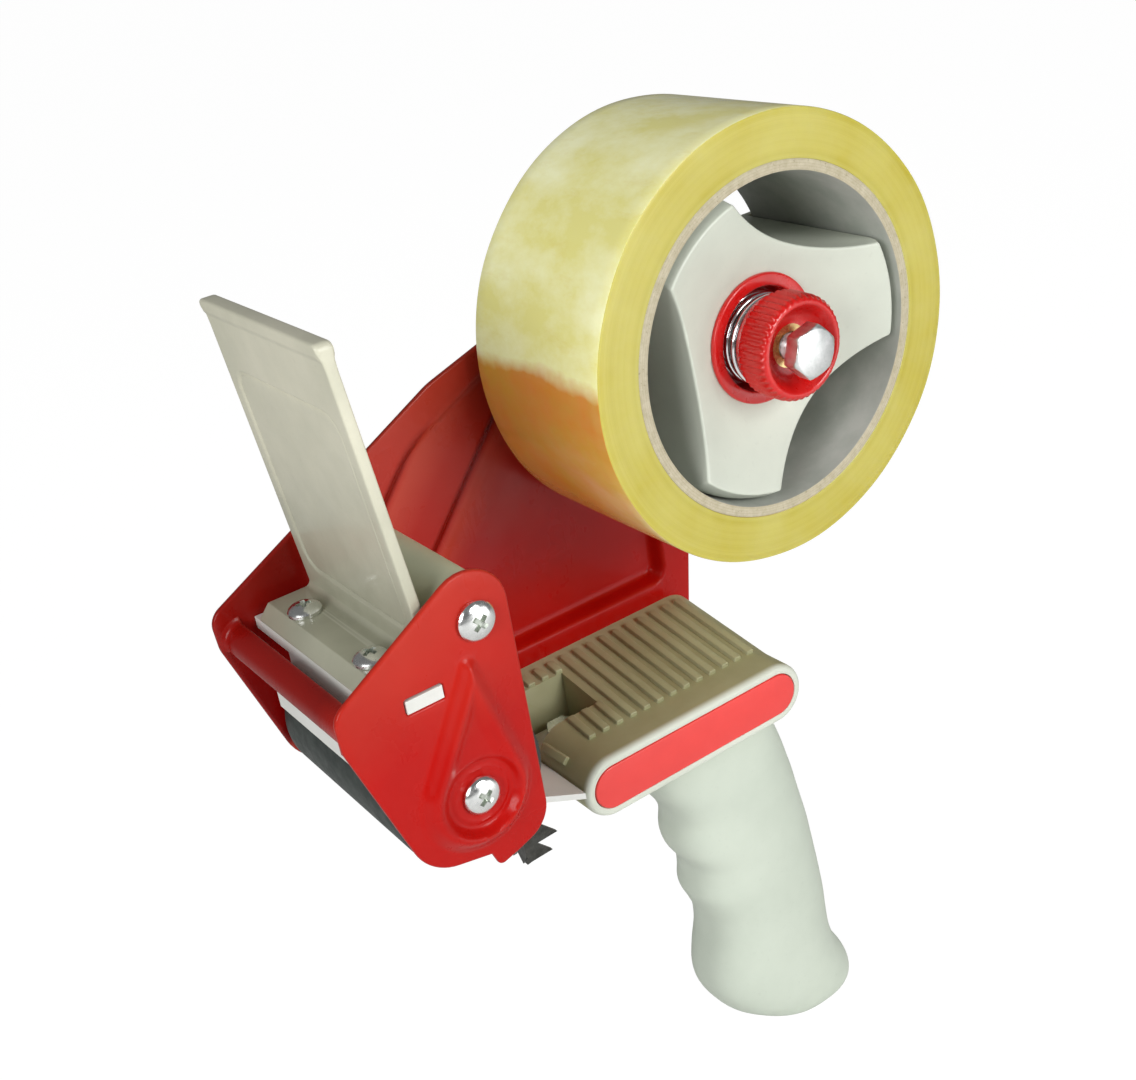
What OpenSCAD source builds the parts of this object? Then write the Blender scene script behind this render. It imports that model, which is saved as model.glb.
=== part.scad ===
// Hand tape gun: a pressed steel frame carries a wiper, two rollers, a blade, a handle and a braked hub.
// Frame of the model: origin on the hub axis at the inner face of the side plate.
// +X points from the roller towards the back of the handle, +Z is up, and -Y runs along the hub axis
// from the side plate to the tension knob.

/* [Frame] */
// Thickness of the pressed sheet
sheet_t = 1.5; // [1.2:0.1:1.8]
// Clear width between the side plate and the ear plate
frame_gap = 58.5; // [58:0.5:60]
// Outer radius of the rolled cross strip that joins the two plates at the front
nose_r = 4.5; // [4:0.1:5]
// Depth of the pressed panel in the side plate
emboss_depth = 1.2; // [0.8:0.1:1.4]

/* [Tape roll] */
// Outer radius of the full roll
roll_r = 51.7; // [46:0.1:52]
// Inner radius of the cardboard core
core_r = 38.1; // [38:0.05:38.2]
// Wall thickness of the cardboard core
core_t = 2.5; // [2:0.1:3.5]
// Width of the tape
tape_w = 48; // [45:0.5:48]

/* [Hub] */
// Radius of the three hub arms where the core rides on them
hub_r = 37.6; // [37:0.1:37.8]
// Radius of the hub arms at their front edge
hub_front_r = 35.6; // [35:0.1:36.5]
// Radius of the hollow curve between two arms
arm_hollow_r = 57.7; // [54:0.1:60]
// Least distance from the axis to that hollow curve
arm_waist = 22; // [21:0.1:23]
// Wall thickness of the hub moulding
hub_wall = 2; // [1.6:0.1:2.4]

/* [Brake] */
// Radius of the centre bolt's shank
bolt_r = 3.175; // [3.175]
// Width across the flats of the centre bolt's head and of its nut
bolt_flats = 11.1; // [10.8:0.1:11.2]
// Outer radius of the tension knob
knob_r = 12.2; // [11.5:0.1:12.6]
// Number of teeth round the knob
knob_teeth = 44; // [36:2:48]
// Radius of the spring's wire
wire_r = 0.75; // [0.6:0.05:0.8]
// Mean radius of the spring's coils
coil_r = 10.1; // [9.5:0.1:10.4]
// Number of turns in the spring
coil_turns = 4; // [3:0.5:4.5]

/* [Rollers] */
// Outer radius of the rubber sleeve on the front roller
front_r = 18.15; // [17.5:0.05:18.2]
// Thickness of the rubber sleeve
rubber_t = 3; // [2:0.5:3.5]
// Radius of the front roller's axle
front_axle_r = 4; // [3.5:0.5:4]
// Outer radius of the guide roller
guide_r = 7.8; // [7:0.1:8]
// Radius of the guide roller's axle
guide_axle_r = 3; // [2.5:0.5:3]
// Radial clearance of everything that turns on a shaft
running_gap = 0.06; // [0.03:0.01:0.09]

/* [Wiper] */
// Height of the wiper's top edge
wiper_top_z = 36; // [30:1:40]
// Width of the wiper
wiper_w = 54; // [46:0.2:55]
// Thickness of the wiper blade
wiper_t = 2.5; // [2:0.1:3]

/* [Handle] */
// Length of the handle block between the centres of its two round ends
block_l = 52.5; // [50:0.5:54]
// Radius of the handle block's round ends
block_r = 8.15; // [8:0.05:8.3]
// Depth of the handle block, out from the side plate
block_d = 43.25; // [42:0.25:45]
// Number of ribs across the top of the block
rib_count = 13; // [9:1:13]
// Distance from one rib to the next
rib_pitch = 4.27; // [4:0.01:4.3]

/* [Hidden] */

$fn = 96;
slip = 0.2;                          // gap round parts that are only dropped into place
skin = 0.05;                         // gap between two parts that are pressed or screwed together
ear_y = -frame_gap;                  // inner face of the ear plate
ear_out_y = ear_y - sheet_t;         // outer face of the ear plate

guide_axis = [-93, -27.2];           // [x, z] of the guide roller
front_axis = [-99.8, -66.4];         // [x, z] of the front roller

// Outlines are lists of [x, z, corner radius]
side_outline = [[-127.3, -34.3, 5], [-62.5, -0.2, 20], [19.5, 26.1, 19], [1.5, -103.5, 7], [-63, -103.5, 10],
    [-80, -83, 8], [-114.9, -80.5, 13], [-126.9, -42.5, 8]];
ear_outline = [[-127.3, -34.3, 5], [-84.8, -9.1, 9.3], [-84.6, -81.8, 8], [-93.6, -84.9, 0.6],
    [-98.6, -86.3, 1.5], [-100, -82.3, 0.6], [-114.9, -79.2, 12], [-126.9, -42.5, 8]];
panel_outline = [[-2.2, -78, 3], [-47, -78, 6], [-70, -44, 4], [-50, -16, 6], [-8, -24, 8]];
nose_back = [-120.8, -37.5];         // [x, z] of the cross strip's upper rear edge
nose_bottom_z = -43.2;

slot_x = [-112, -103];               // tab slot of the guide plate
slot_z = [-41, -37.2];
plate_top_z = -37.6;                 // top of the guide plate, where the wiper's foot stands
plate_t = 3;
riser_x = -117.4;                    // the guide plate steps down here, under the cross strip
step_top_z = -43.4;
lip_x = -122.3;                      // front face of the guide plate's lip
lip_bottom_z = -52.3;
lip_y = [-57, -16.5];
lip_t = 1.5;

foot_top_z = -34;
wiper_y1 = -3.4;                     // wiper edge beside the side plate
wiper_lean = 6.3;                    // degrees forward
wiper_root_x = -101.2;
foot_front_x = -117.4;
foot_screw_x = -110.8;
foot_screw_y = [-15, -45.8];
m4_r = 2;
m4_head_r = 4.2;
m4_head_h = 2.3;
foot_head_r = 3.9;                   // heads of the two screws in the wiper's foot

core_out_r = core_r + core_t;
roll_y = [-53, -53 + tape_w];        // near and far faces of the roll
hub_back_y = -1.6;
hub_waist_y = -46.1;                 // hub face beside the cup
hub_tip_y = -52.7;                   // hub face at the arm tips
hub_cavity_y = -42.5;                // the arms are hollow from the back to here
hub_core_y = -34;                    // and the middle to here
rim_r = 41.5;                        // arms end in lips that stop the roll at the plate
rim_y = [-4.2, -2.2];
bush_r = 4.5;
cup_floor_y = [-39.2, -38];
cup_r = 13.4;
cup_flange_r = 15.2;
cup_wall = 1.2;
knob_y = [-60, -51];                 // front and back of the knob
dish_y = -55.5;
dish_r = 9.9;
insert_r = 5;
washer_t = 1;
bolt_head_y = [-64, -60];
nut_y = [3.1, 8.9];
bolt_end_y = 9.6;

block_z = -96.2;                     // centre of the handle block
block_x0 = -56.55;                   // centre of its front round end
inset_r = 5.8;
hub_turn = 4.5;                      // how far the three arms are turned up at rest
pocket_x = [-66, -45.5];             // open at the front
pocket_y = [-23.3, -8];
pocket_floor_z = -98.5;
rib_w = 2.6;
rib_h = 0.9;
rib_x0 = -54.6;
rib_root = 2;                        // how deep a rib's foot is sunk in the block
rib_end_l = 9;                       // length of the last rib
rib_y = [-33.2, -3];
bracket_bolt_pos = [-52.5, -16];     // [x, y] of the bolt through the bracket's tongue
nut_recess_z = -100.2;               // roof of the recess for its nut, under the block
m5_r = 2.5;
m5_flats = 8;
m5_head_h = 4;
m5_nut_h = 2.8;
rib_end_turn = 48;                   // the last rib lies this far round the front end
block_rise = 5.3;                    // the ribbed top climbs this much towards the side plate
rib_tilt = atan(block_rise / -rib_y[0]);
block_wall = 2.4;
block_rib_y = [-25.6, -3.5];         // the block is hollow here, round two screw posts
screw_post_r = 4.2;
inset_depth = 2.25;
block_screw_x = [-38, -12];
grip_screw_x = [-22, -9];
grip_screw_y = -30;
grip_head_r = 3.6;
grip_head_h = 2;
grip_y = -23;                        // middle plane of the grip

// Grip sections, each [z, front x, back x, half thickness]
grip_sections = [[-104.35, -39, 3, 14], [-121, -34, 8, 14], [-131, -29.2, 10.3, 14],
    [-142, -29.5, 12.6, 14.2], [-151, -25.6, 14.2, 14.4], [-159, -26.4, 15.2, 14.5],
    [-168, -23.4, 16.2, 14.5], [-177, -22.8, 17.2, 14.6],
    [-191, -25.6, 17.8, 15], [-203, -21, 22.6, 15.4], [-211, -12.5, 24.4, 14.6], [-215.5, -4, 19.5, 10]];

function unit(v) = v / norm(v);

// Points of an arc of radius r that rounds the corner b between a and c
function corner_arc(a, b, c, r, n = 8) =
    let (u = unit(a - b), v = unit(c - b), half = acos(u * v) / 2, m = b + unit(u + v) * r / sin(half))
    let (s = b + u * r / tan(half) - m, e = b + v * r / tan(half) - m)
    let (a0 = atan2(s.y, s.x), turn = atan2(s.x * e.y - s.y * e.x, s * e))
    [for (i = [0:n]) m + r * [cos(a0 + turn * i / n), sin(a0 + turn * i / n)]];

function xz(p) = [p.x, p.y];

function rounded(outline) =
    let (n = len(outline))
    [for (i = [0:n - 1])
        each corner_arc(xz(outline[(i + n - 1) % n]), xz(outline[i]), xz(outline[(i + 1) % n]),
            outline[i][2])];

// Extrudes an [x, z] shape along Y from y0 to y1
module along_y(y0, y1) {
    translate([0, y1, 0])
        rotate([90, 0, 0])
            linear_extrude(height = y1 - y0)
                children();
}

// Round bar along Y
module y_bar(axis, y0, y1, r) {
    along_y(y0, y1)
        translate(axis)
            circle(r = r);
}

// Tube along Y
module y_tube(axis, y0, y1, r_out, r_in) {
    along_y(y0, y1)
        translate(axis)
            difference() {
                circle(r = r_out);
                circle(r = r_in);
            }
}

// Shape with round ends from [x0, z] to [x1, z]
module stadium(x0, x1, z, r) {
    translate([x0, z - r])
        square([x1 - x0, 2 * r]);
    translate([x0, z])
        circle(r = r);
    translate([x1, z])
        circle(r = r);
}

module box_between(a, b) {
    translate(a)
        cube(b - a);
}

// Cross recess cut into a screw head whose face is at z = 0
module cross_recess(r) {
    for (turn = [0, 90])
        rotate([0, 0, turn])
            translate([-r, -0.45, -1.2])
                cube([2 * r, 0.9, 1.3]);
}

// Pan head screw along +Z with the underside of its head at z = 0 and its shank below
module pan_screw(r, head_r, head_h, length) {
    difference() {
        rotate_extrude()
            polygon(concat([[0, -length], [r, -length], [r, 0], [head_r, 0]],
                corner_arc([head_r, 0], [head_r, head_h], [0, head_h], head_h * 0.7), [[0, head_h]]));
        translate([0, 0, head_h])
            cross_recess(head_r * 0.45);
    }
}

// The same screw with its head facing -Y or +Y
module y_screw(axis, y, facing, r, head_r, head_h, length) {
    translate([axis.x, y, axis.y])
        rotate([facing < 0 ? 90 : -90, 0, 0])
            rotate([0, 0, 45])
                pan_screw(r, head_r, head_h, length);
}

module hexagon(flats) {
    circle(r = flats / sqrt(3), $fn = 6);
}

// ---- Frame ----

module plate_holes() {
    for (p = [guide_axis, front_axis])
        translate(p)
            circle(r = m4_r + slip);
    translate([slot_x[0], slot_z[0]])
        square([slot_x[1] - slot_x[0], slot_z[1] - slot_z[0]]);
}

// Rolled strip between the two plates, with its hollow side towards the rollers
module cross_strip() {
    centre = nose_back - [0, nose_r];
    front_x = centre.x - nose_r;
    inner_r = nose_r - sheet_t;
    along_y(ear_y - 0.5, 0.5)
        polygon(concat([[front_x, nose_bottom_z]],
            [for (a = [180:-7.5:90]) centre + nose_r * [cos(a), sin(a)]],
            [for (a = [90:7.5:180]) centre + inner_r * [cos(a), sin(a)]],
            [[front_x + sheet_t, nose_bottom_z]]));
}

module side_plate() {
    difference() {
        union() {
            along_y(0, sheet_t)
                polygon(rounded(side_outline));
            along_y(sheet_t, sheet_t + emboss_depth)
                polygon(rounded(panel_outline));
        }
        along_y(-1, emboss_depth)
            polygon(rounded(panel_outline));
        along_y(-1, sheet_t + 1) {
            plate_holes();
            circle(r = bolt_r + slip);
            for (x = block_screw_x)
                translate([x, block_z])
                    circle(r = m4_r + slip);
        }
    }
}

module ear_plate() {
    along_y(ear_out_y, ear_y)
        difference() {
            polygon(rounded(ear_outline));
            plate_holes();
        }
}

module main_frame() {
    color("firebrick") {
        side_plate();
        ear_plate();
        cross_strip();
    }
}

module guide_plate() {
    color("gainsboro")
        difference() {
            union() {
                box_between([riser_x, ear_y + slip, plate_top_z - plate_t],
                    [slot_x[1] - slip, -slip, plate_top_z]);
                box_between([riser_x, lip_y[0], step_top_z - lip_t],
                    [riser_x + lip_t, lip_y[1], plate_top_z]);
                box_between([lip_x, lip_y[0], step_top_z - lip_t], [riser_x + lip_t, lip_y[1], step_top_z]);
                box_between([lip_x, lip_y[0], lip_bottom_z], [lip_x + lip_t, lip_y[1], step_top_z]);
                box_between([slot_x[0] + slip, ear_out_y - 0.1, plate_top_z - plate_t],
                    [slot_x[1] - slip, sheet_t + 0.1, plate_top_z]);
            }
            for (y = foot_screw_y)
                translate([foot_screw_x, y, plate_top_z - plate_t - 1])
                    cylinder(r = m4_r + skin, h = plate_t + 2);
        }
}

// ---- Wiper ----

module wiper_section() {
    rise = wiper_top_z - foot_top_z;
    top_x = wiper_root_x - rise * tan(wiper_lean);
    polygon(concat(
        [[wiper_root_x, plate_top_z], [wiper_root_x, foot_top_z]],
        [[top_x, wiper_top_z], [top_x - wiper_t, wiper_top_z]],
        corner_arc([top_x - wiper_t, wiper_top_z], [wiper_root_x - wiper_t, foot_top_z],
            [foot_front_x, foot_top_z], 1.2),
        [[foot_front_x + 2.8, foot_top_z], [foot_front_x, plate_top_z + 0.6], [foot_front_x, plate_top_z]]));
    translate([top_x - wiper_t / 2, wiper_top_z])
        circle(r = wiper_t * 0.8);
}

module wiper() {
    color("darkkhaki")
        difference() {
            intersection() {
                along_y(wiper_y1 - wiper_w, wiper_y1)
                    wiper_section();
                translate([foot_front_x - 1, 0, 0])
                    rotate([90, 0, 90])
                        linear_extrude(height = 30)
                            polygon(rounded([[wiper_y1, wiper_top_z + 2, 1.5],
                                [wiper_y1, plate_top_z - 1, 0.1],
                                [wiper_y1 - wiper_w, plate_top_z - 1, 0.1],
                                [wiper_y1 - wiper_w, wiper_top_z + 2, 1.5]]));
            }
            for (y = foot_screw_y)
                translate([foot_screw_x, y, foot_top_z]) {
                    translate([0, 0, -6])
                        cylinder(r = m4_r + slip, h = 7);
                    cylinder(r = foot_head_r + slip, h = m4_head_h + 1);
                }
        }
}

module wiper_screws() {
    color("silver")
        for (y = foot_screw_y)
            translate([foot_screw_x, y, foot_top_z])
                rotate([0, 0, 20])
                    pan_screw(m4_r, foot_head_r, m4_head_h, foot_top_z - plate_top_z + plate_t + 2);
}

// ---- Rollers ----

// Axle between the plates, drilled at both ends for its screws
module drilled_axle(axis, r) {
    difference() {
        y_bar(axis, ear_y, 0, r);
        y_bar(axis, ear_y - 1, ear_y + 10, m4_r + skin);
        y_bar(axis, -10, 1, m4_r + skin);
    }
}

module axle_screws(axis) {
    y_screw(axis, ear_out_y, -1, m4_r, m4_head_r + 0.2, m4_head_h, 10);
    y_screw(axis, sheet_t, 1, m4_r, m4_head_r + 0.2, m4_head_h, 10);
}

module guide_roller() {
    color("lightgray")
        difference() {
            y_bar(guide_axis, ear_y + 0.8, -0.8, guide_r);
            y_bar(guide_axis, ear_y, 1, guide_axle_r + running_gap);
            y_bar(guide_axis, ear_y + 9, -9, guide_r - 1.8);
        }
}

module guide_axle() {
    color("silver")
        drilled_axle(guide_axis, guide_axle_r);
}

module guide_screws() {
    color("silver")
        axle_screws(guide_axis);
}

tube_r = front_r - rubber_t - skin;
tube_wall = 2.2;
plug_l = 9;

module roller_sleeve() {
    color("dimgray")
        y_tube(front_axis, ear_y + 2, -2, front_r, tube_r + skin);
}

module roller_tube() {
    color("gray")
        y_tube(front_axis, ear_y + 2, -2, tube_r, tube_r - tube_wall);
}

// One plug is a disc with a collar that carries the axle
module roller_plug(face_y, inward) {
    inner_r = tube_r - tube_wall - skin;
    y0 = min(face_y, face_y + inward * 3);
    difference() {
        union() {
            y_bar(front_axis, y0, y0 + 3, inner_r);
            y_bar(front_axis, min(face_y, face_y + inward * plug_l),
                max(face_y, face_y + inward * plug_l), 7);
            y_bar(front_axis, min(face_y, face_y - inward), max(face_y, face_y - inward), 6);
        }
        y_bar(front_axis, face_y - plug_l - 2, face_y + plug_l + 2, front_axle_r + running_gap);
    }
}

module roller_plugs() {
    color("whitesmoke") {
        roller_plug(ear_y + 2, 1);
        roller_plug(-2, -1);
    }
}

module roller_axle() {
    color("silver")
        drilled_axle(front_axis, front_axle_r);
}

module roller_screws() {
    color("silver")
        axle_screws(front_axis);
}

// ---- Blade ----

blade_t = 1;
tooth_pitch = 4.4;
blade_y = [ear_y + 0.8, -0.8];
blade_top = [-90.2, -84.6];          // [x, z] of the blade strip's top edge
blade_drop = 5;
tooth_l = 2.8;
blade_teeth = 14;

// Toothed end flange, whose teeth point backwards
module blade_flange() {
    tip = [-82.3, -87.3];
    step = [-2, -3.9];
    root = [-3.6, 3.7];
    polygon([[-90.2, -84.6], tip + root, tip, tip + step + root, tip + step, tip + 2 * step + root,
        [-91.2, -91.6]]);
}

module blade() {
    strip_x = blade_top.x - blade_t;
    width = blade_y[1] - blade_y[0];
    color("slategray") {
        difference() {
            translate([strip_x, 0, 0])
                rotate([90, 0, 90])
                    linear_extrude(height = blade_t)
                        polygon(concat([[blade_y[0], blade_top.y], [blade_y[0], blade_top.y - blade_drop]],
                            [for (i = [0:blade_teeth - 1]) each [
                                [blade_y[0] + (i + 0.5) * width / blade_teeth,
                                    blade_top.y - blade_drop - tooth_l],
                                [blade_y[0] + (i + 1) * width / blade_teeth, blade_top.y - blade_drop]]],
                            [[blade_y[1], blade_top.y]]));
            for (y = rivet_y)
                translate([strip_x - 1, y, rivet_z])
                    rotate([0, 90, 0])
                        cylinder(r = rivet_r + slip / 2, h = 4);
        }
        for (y = [blade_y[0], blade_y[1] - blade_t])
            along_y(y, y + blade_t)
                blade_flange();
    }
}

rivet_y = [-38, -12];
rivet_z = -87.4;
rivet_r = 1.5;
tail_r = 2;                          // rivet tail behind the bracket
bracket_y = [-43, -6];
bracket_t = 1.5;
bracket_lip_x = blade_top.x + skin;
bracket_lip_z = [-89.4, -83.2];
web_drop = 0.453;                    // fall of the web for each millimetre backwards
web_end_x = -65;                     // the full width stops before the handle block
tongue_y = [-22.6, -9];
tongue_top_z = pocket_floor_z + skin + bracket_t;
tongue_bend_x = bracket_lip_x + bracket_t + (bracket_lip_z[1] - tongue_top_z) / web_drop;
tongue_end_x = -46;

// Height of the web's upper face
function web_z(x) = bracket_lip_z[1] - (x - bracket_lip_x - bracket_t) * web_drop;

// Sloping web between two places along X
module web_section(x0, x1) {
    v = bracket_t * sqrt(1 + web_drop * web_drop);
    polygon([[x0, web_z(x0)], [x0, web_z(x0) - v], [x1, web_z(x1) - v], [x1, web_z(x1)]]);
}

// A lip for the blade, a sloping web, and a tongue that lies on the floor of the handle's pocket
module blade_bracket() {
    color("ivory")
        difference() {
            union() {
                along_y(bracket_y[0], bracket_y[1]) {
                    translate([bracket_lip_x, bracket_lip_z[0]])
                        square([bracket_t, bracket_lip_z[1] - bracket_lip_z[0]]);
                    web_section(bracket_lip_x + bracket_t - 0.01, web_end_x);
                }
                along_y(tongue_y[0], tongue_y[1]) {
                    web_section(web_end_x - 0.01, tongue_bend_x - 0.4);
                    translate([tongue_bend_x - 0.5, tongue_top_z - bracket_t])
                        square([tongue_end_x - tongue_bend_x + 0.5, bracket_t]);
                }
            }
            for (y = rivet_y)
                translate([blade_top.x - 1, y, rivet_z])
                    rotate([0, 90, 0])
                        cylinder(r = rivet_r + slip / 2, h = 3);
            translate([bracket_bolt_pos.x, bracket_bolt_pos.y, tongue_top_z - bracket_t - 1])
                cylinder(r = m5_r + slip, h = bracket_t + 2);
        }
}

module blade_rivets() {
    color("silver")
        for (y = rivet_y)
            translate([0, y, rivet_z])
                rotate([0, 90, 0]) {
                    translate([0, 0, blade_top.x - blade_t - 0.8])
                        cylinder(r = rivet_r + 1.1, h = 0.75);
                    translate([0, 0, blade_top.x - blade_t - 0.1])
                        cylinder(r = rivet_r, h = blade_t + bracket_t + 0.5);
                    translate([0, 0, blade_top.x + bracket_t + 0.1])
                        cylinder(r = tail_r, h = 0.7);
                }
}

// Hexagon bolt down through the tongue and the floor of the pocket
module bracket_bolt() {
    seat_z = tongue_top_z + skin;
    color("silver")
        translate([bracket_bolt_pos.x, bracket_bolt_pos.y, 0]) {
            translate([0, 0, seat_z])
                linear_extrude(height = m5_head_h)
                    hexagon(m5_flats);
            translate([0, 0, nut_recess_z - m5_nut_h - 1])
                cylinder(r = m5_r, h = seat_z - nut_recess_z + m5_nut_h + 1);
        }
}

module bracket_nut() {
    color("silver")
        translate([bracket_bolt_pos.x, bracket_bolt_pos.y, nut_recess_z - skin - m5_nut_h])
            linear_extrude(height = m5_nut_h)
                difference() {
                    hexagon(m5_flats);
                    circle(r = m5_r + skin);
                }
}

// ---- Handle ----

block_x1 = block_x0 + block_l;

module ribs() {
    top_z = block_z + block_r;
    for (i = [0:rib_count - 1])
        translate([rib_x0 + i * rib_pitch, rib_y[0], top_z])
            rotate([rib_tilt, 0, 0])
                box_between([-rib_w / 2, 0, -rib_root],
                    [rib_w / 2, (rib_y[1] - rib_y[0]) / cos(rib_tilt), rib_h]);
    translate([block_x0, rib_y[0], block_z])
        rotate([0, -rib_end_turn, 0])
            translate([0, 0, block_r])
                rotate([rib_tilt * cos(rib_end_turn), 0, 0])
                    box_between([-rib_w / 2, 0, -rib_root], [rib_w / 2, rib_end_l, rib_h]);
}

// The block's outside: straight at the near face, and taller towards the side plate behind the ribs' ends.
module block_body() {
    along_y(-block_d, rib_y[0] + 0.05)
        stadium(block_x0, block_x1, block_z, block_r);
    hull() {
        along_y(rib_y[0], rib_y[0] + 0.05)
            stadium(block_x0, block_x1, block_z, block_r);
        along_y(-0.05, 0)
            stadium(block_x0, block_x1, block_z, block_r);
        along_y(-0.05, 0)
            stadium(block_x0, block_x1, block_z + block_rise, block_r);
    }
}

module handle_block() {
    recess_y = inset_depth - block_d;
    color("tan")
        difference() {
            union() {
                block_body();
                ribs();
            }
            along_y(-block_d - 1, recess_y + 0.2)
                stadium(block_x0 + 0.1, block_x1 - 0.1, block_z, inset_r + skin);
            along_y(recess_y + 0.1, block_rib_y[0] + 0.1)
                stadium(block_x0, block_x1, block_z, block_r - block_wall);
            difference() {
                along_y(block_rib_y[0], block_rib_y[1])
                    stadium(pocket_x[1] + 8, block_x1, block_z, block_r - block_wall);
                for (x = block_screw_x)
                    y_bar([x, block_z], block_rib_y[0] - 1, block_rib_y[1] + 1, screw_post_r);
            }
            box_between([pocket_x[0], pocket_y[0], pocket_floor_z],
                [pocket_x[1], pocket_y[1], block_z + block_r + block_rise + 2]);
            translate([bracket_bolt_pos.x, bracket_bolt_pos.y, block_z - block_r - 1]) {
                cylinder(r = m5_r + slip, h = 12);
                cylinder(r = m5_flats / sqrt(3) + 2 * slip, h = nut_recess_z - block_z + block_r + 1);
            }
            for (x = block_screw_x)
                y_bar([x, block_z], -16, 1, m4_r + skin);
            for (x = grip_screw_x)
                translate([x, grip_screw_y, block_z - block_r - 1])
                    cylinder(r = m4_r + slip, h = 6);
        }
}

module handle_inset() {
    color("tomato")
        difference() {
            along_y(-block_d - 0.3, inset_depth - block_d)
                stadium(block_x0 + 0.1, block_x1 - 0.1, block_z, inset_r);
            along_y(-block_d + 1.4, 0)
                stadium(block_x0 + 0.1, block_x1 - 0.1, block_z, inset_r - 1.5);
        }
}

module handle_screws() {
    color("silver")
        for (x = block_screw_x)
            y_screw([x, block_z], sheet_t, 1, m4_r, m4_head_r, m4_head_h, 15);
}

module grip_section(s) {
    middle = (s[1] + s[2]) / 2;
    half = (s[2] - s[1]) / 2;
    translate([middle, grip_y, s[0]])
        linear_extrude(height = 0.01)
            polygon([for (a = [0:11.25:359]) [half * sign(cos(a)) * pow(abs(cos(a)), 0.75),
                s[3] * sign(sin(a)) * pow(abs(sin(a)), 0.75)]]);
}

module handle_grip() {
    color("honeydew")
        difference() {
            for (i = [0:len(grip_sections) - 2])
                hull() {
                    translate([0, 0, i == 0 ? -0.02 : 0])
                        grip_section(grip_sections[i]);
                    grip_section(grip_sections[i + 1]);
                }
            for (x = grip_screw_x)
                translate([x, grip_screw_y, -122])
                    cylinder(r = m4_r + slip, h = 20, $fn = 24);
        }
}

module grip_screws() {
    color("silver")
        for (x = grip_screw_x)
            translate([x, grip_screw_y, block_z - block_r + block_wall])
                pan_screw(m4_r, grip_head_r, grip_head_h, 19);
}

// ---- Hub ----

// Three arms with hollow curves between them; inset shrinks the outline evenly
module hub_profile(r, inset) {
    difference() {
        circle(r = r - inset);
        for (a = [60, 180, 300])
            rotate(a + hub_turn)
                translate([arm_waist + arm_hollow_r, 0])
                    circle(r = arm_hollow_r + inset);
    }
}

module hub() {
    color("gainsboro")
        difference() {
            union() {
                intersection() {
                    along_y(hub_tip_y, hub_back_y - 0.6)
                        hub_profile(hub_r, 0);
                    rotate([90, 0, 0])
                        rotate_extrude()
                            polygon([[0, -hub_back_y], [hub_r, -hub_back_y], [hub_r, -hub_tip_y - 5],
                                [hub_front_r, -hub_tip_y], [cup_flange_r + 0.6, -hub_waist_y],
                                [0, -hub_waist_y]]);
                }
                along_y(rim_y[0], rim_y[1])
                    hub_profile(rim_r, 0);
            }
            difference() {
                along_y(hub_cavity_y, hub_back_y + 1)
                    hub_profile(hub_r, hub_wall);
                y_bar([0, 0], hub_cavity_y - 1, 0, cup_r + hub_wall);
            }
            y_bar([0, 0], hub_tip_y, cup_floor_y[1], cup_r + skin);
            y_bar([0, 0], hub_tip_y, 1, bush_r + running_gap);
            y_tube([0, 0], hub_core_y, 1, cup_r - 0.4, bush_r + 2.4);
        }
}

module hub_bush() {
    color("goldenrod")
        y_tube([0, 0], cup_floor_y[0] - 0.6, 0, bush_r, bolt_r + skin);
}

module friction_washer() {
    color("darkolivegreen")
        y_tube([0, 0], -1.5, 0, 13, bush_r + skin);
}

module hub_bolt() {
    color("silver") {
        along_y(bolt_head_y[0], bolt_head_y[1])
            rotate(14)
                hexagon(bolt_flats);
        y_bar([0, 0], bolt_head_y[1], bolt_end_y, bolt_r);
    }
}

module back_washer() {
    color("silver")
        y_tube([0, 0], sheet_t, nut_y[0], 8, bolt_r + slip);
}

module lock_nut() {
    color("silver")
        along_y(nut_y[0], nut_y[1])
            difference() {
                hexagon(bolt_flats);
                circle(r = bolt_r + skin);
            }
}

// ---- Brake ----

module brake_cup() {
    flange_y = hub_waist_y - skin;
    color("red")
        rotate([90, 0, 0])
            rotate_extrude()
                polygon([[bush_r + running_gap, -cup_floor_y[1] + skin], [cup_r, -cup_floor_y[1] + skin],
                    [cup_r, -flange_y], [cup_flange_r, -flange_y], [cup_flange_r, -flange_y + 1.2],
                    [cup_r - cup_wall, -flange_y + 1.2], [cup_r - cup_wall, -cup_floor_y[0]],
                    [bush_r + running_gap, -cup_floor_y[0]]]);
}

spring_y = [knob_y[1] + skin + washer_t, cup_floor_y[0]];
coil_steps = 16;                     // straight pieces in each turn

function coil_point(i) =
    let (a = 360 * i / coil_steps, k = i / (coil_turns * coil_steps))
    let (y = spring_y[0] + wire_r + 0.05 + k * (spring_y[1] - spring_y[0] - 2 * wire_r - 0.1))
    [coil_r * cos(a), y, coil_r * sin(a)];

// Coil of round wire, swept as rings of points joined by faces
module tension_spring() {
    n = coil_turns * coil_steps;
    sides = 8;
    pts = [for (i = [0:n]) let (p = coil_point(i), out = unit([p.x, 0, p.z]))
        each [for (j = [0:sides - 1])
            p + wire_r * (cos(360 * j / sides) * out + sin(360 * j / sides) * [0, 1, 0])]];
    side_faces = [for (i = [0:n - 1]) each [for (j = [0:sides - 1])
        let (k = (j + 1) % sides) each [[i * sides + j, (i + 1) * sides + j, (i + 1) * sides + k],
            [i * sides + j, (i + 1) * sides + k, i * sides + k]]]];
    caps = [[for (j = [0:sides - 1]) j], [for (j = [sides - 1:-1:0]) n * sides + j]];
    color("silver")
        polyhedron(points = pts, faces = concat(side_faces, caps), convexity = 8);
}

module thrust_washer() {
    color("silver")
        y_tube([0, 0], knob_y[1] + skin, knob_y[1] + skin + washer_t, 11, bolt_r + running_gap);
}

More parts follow.
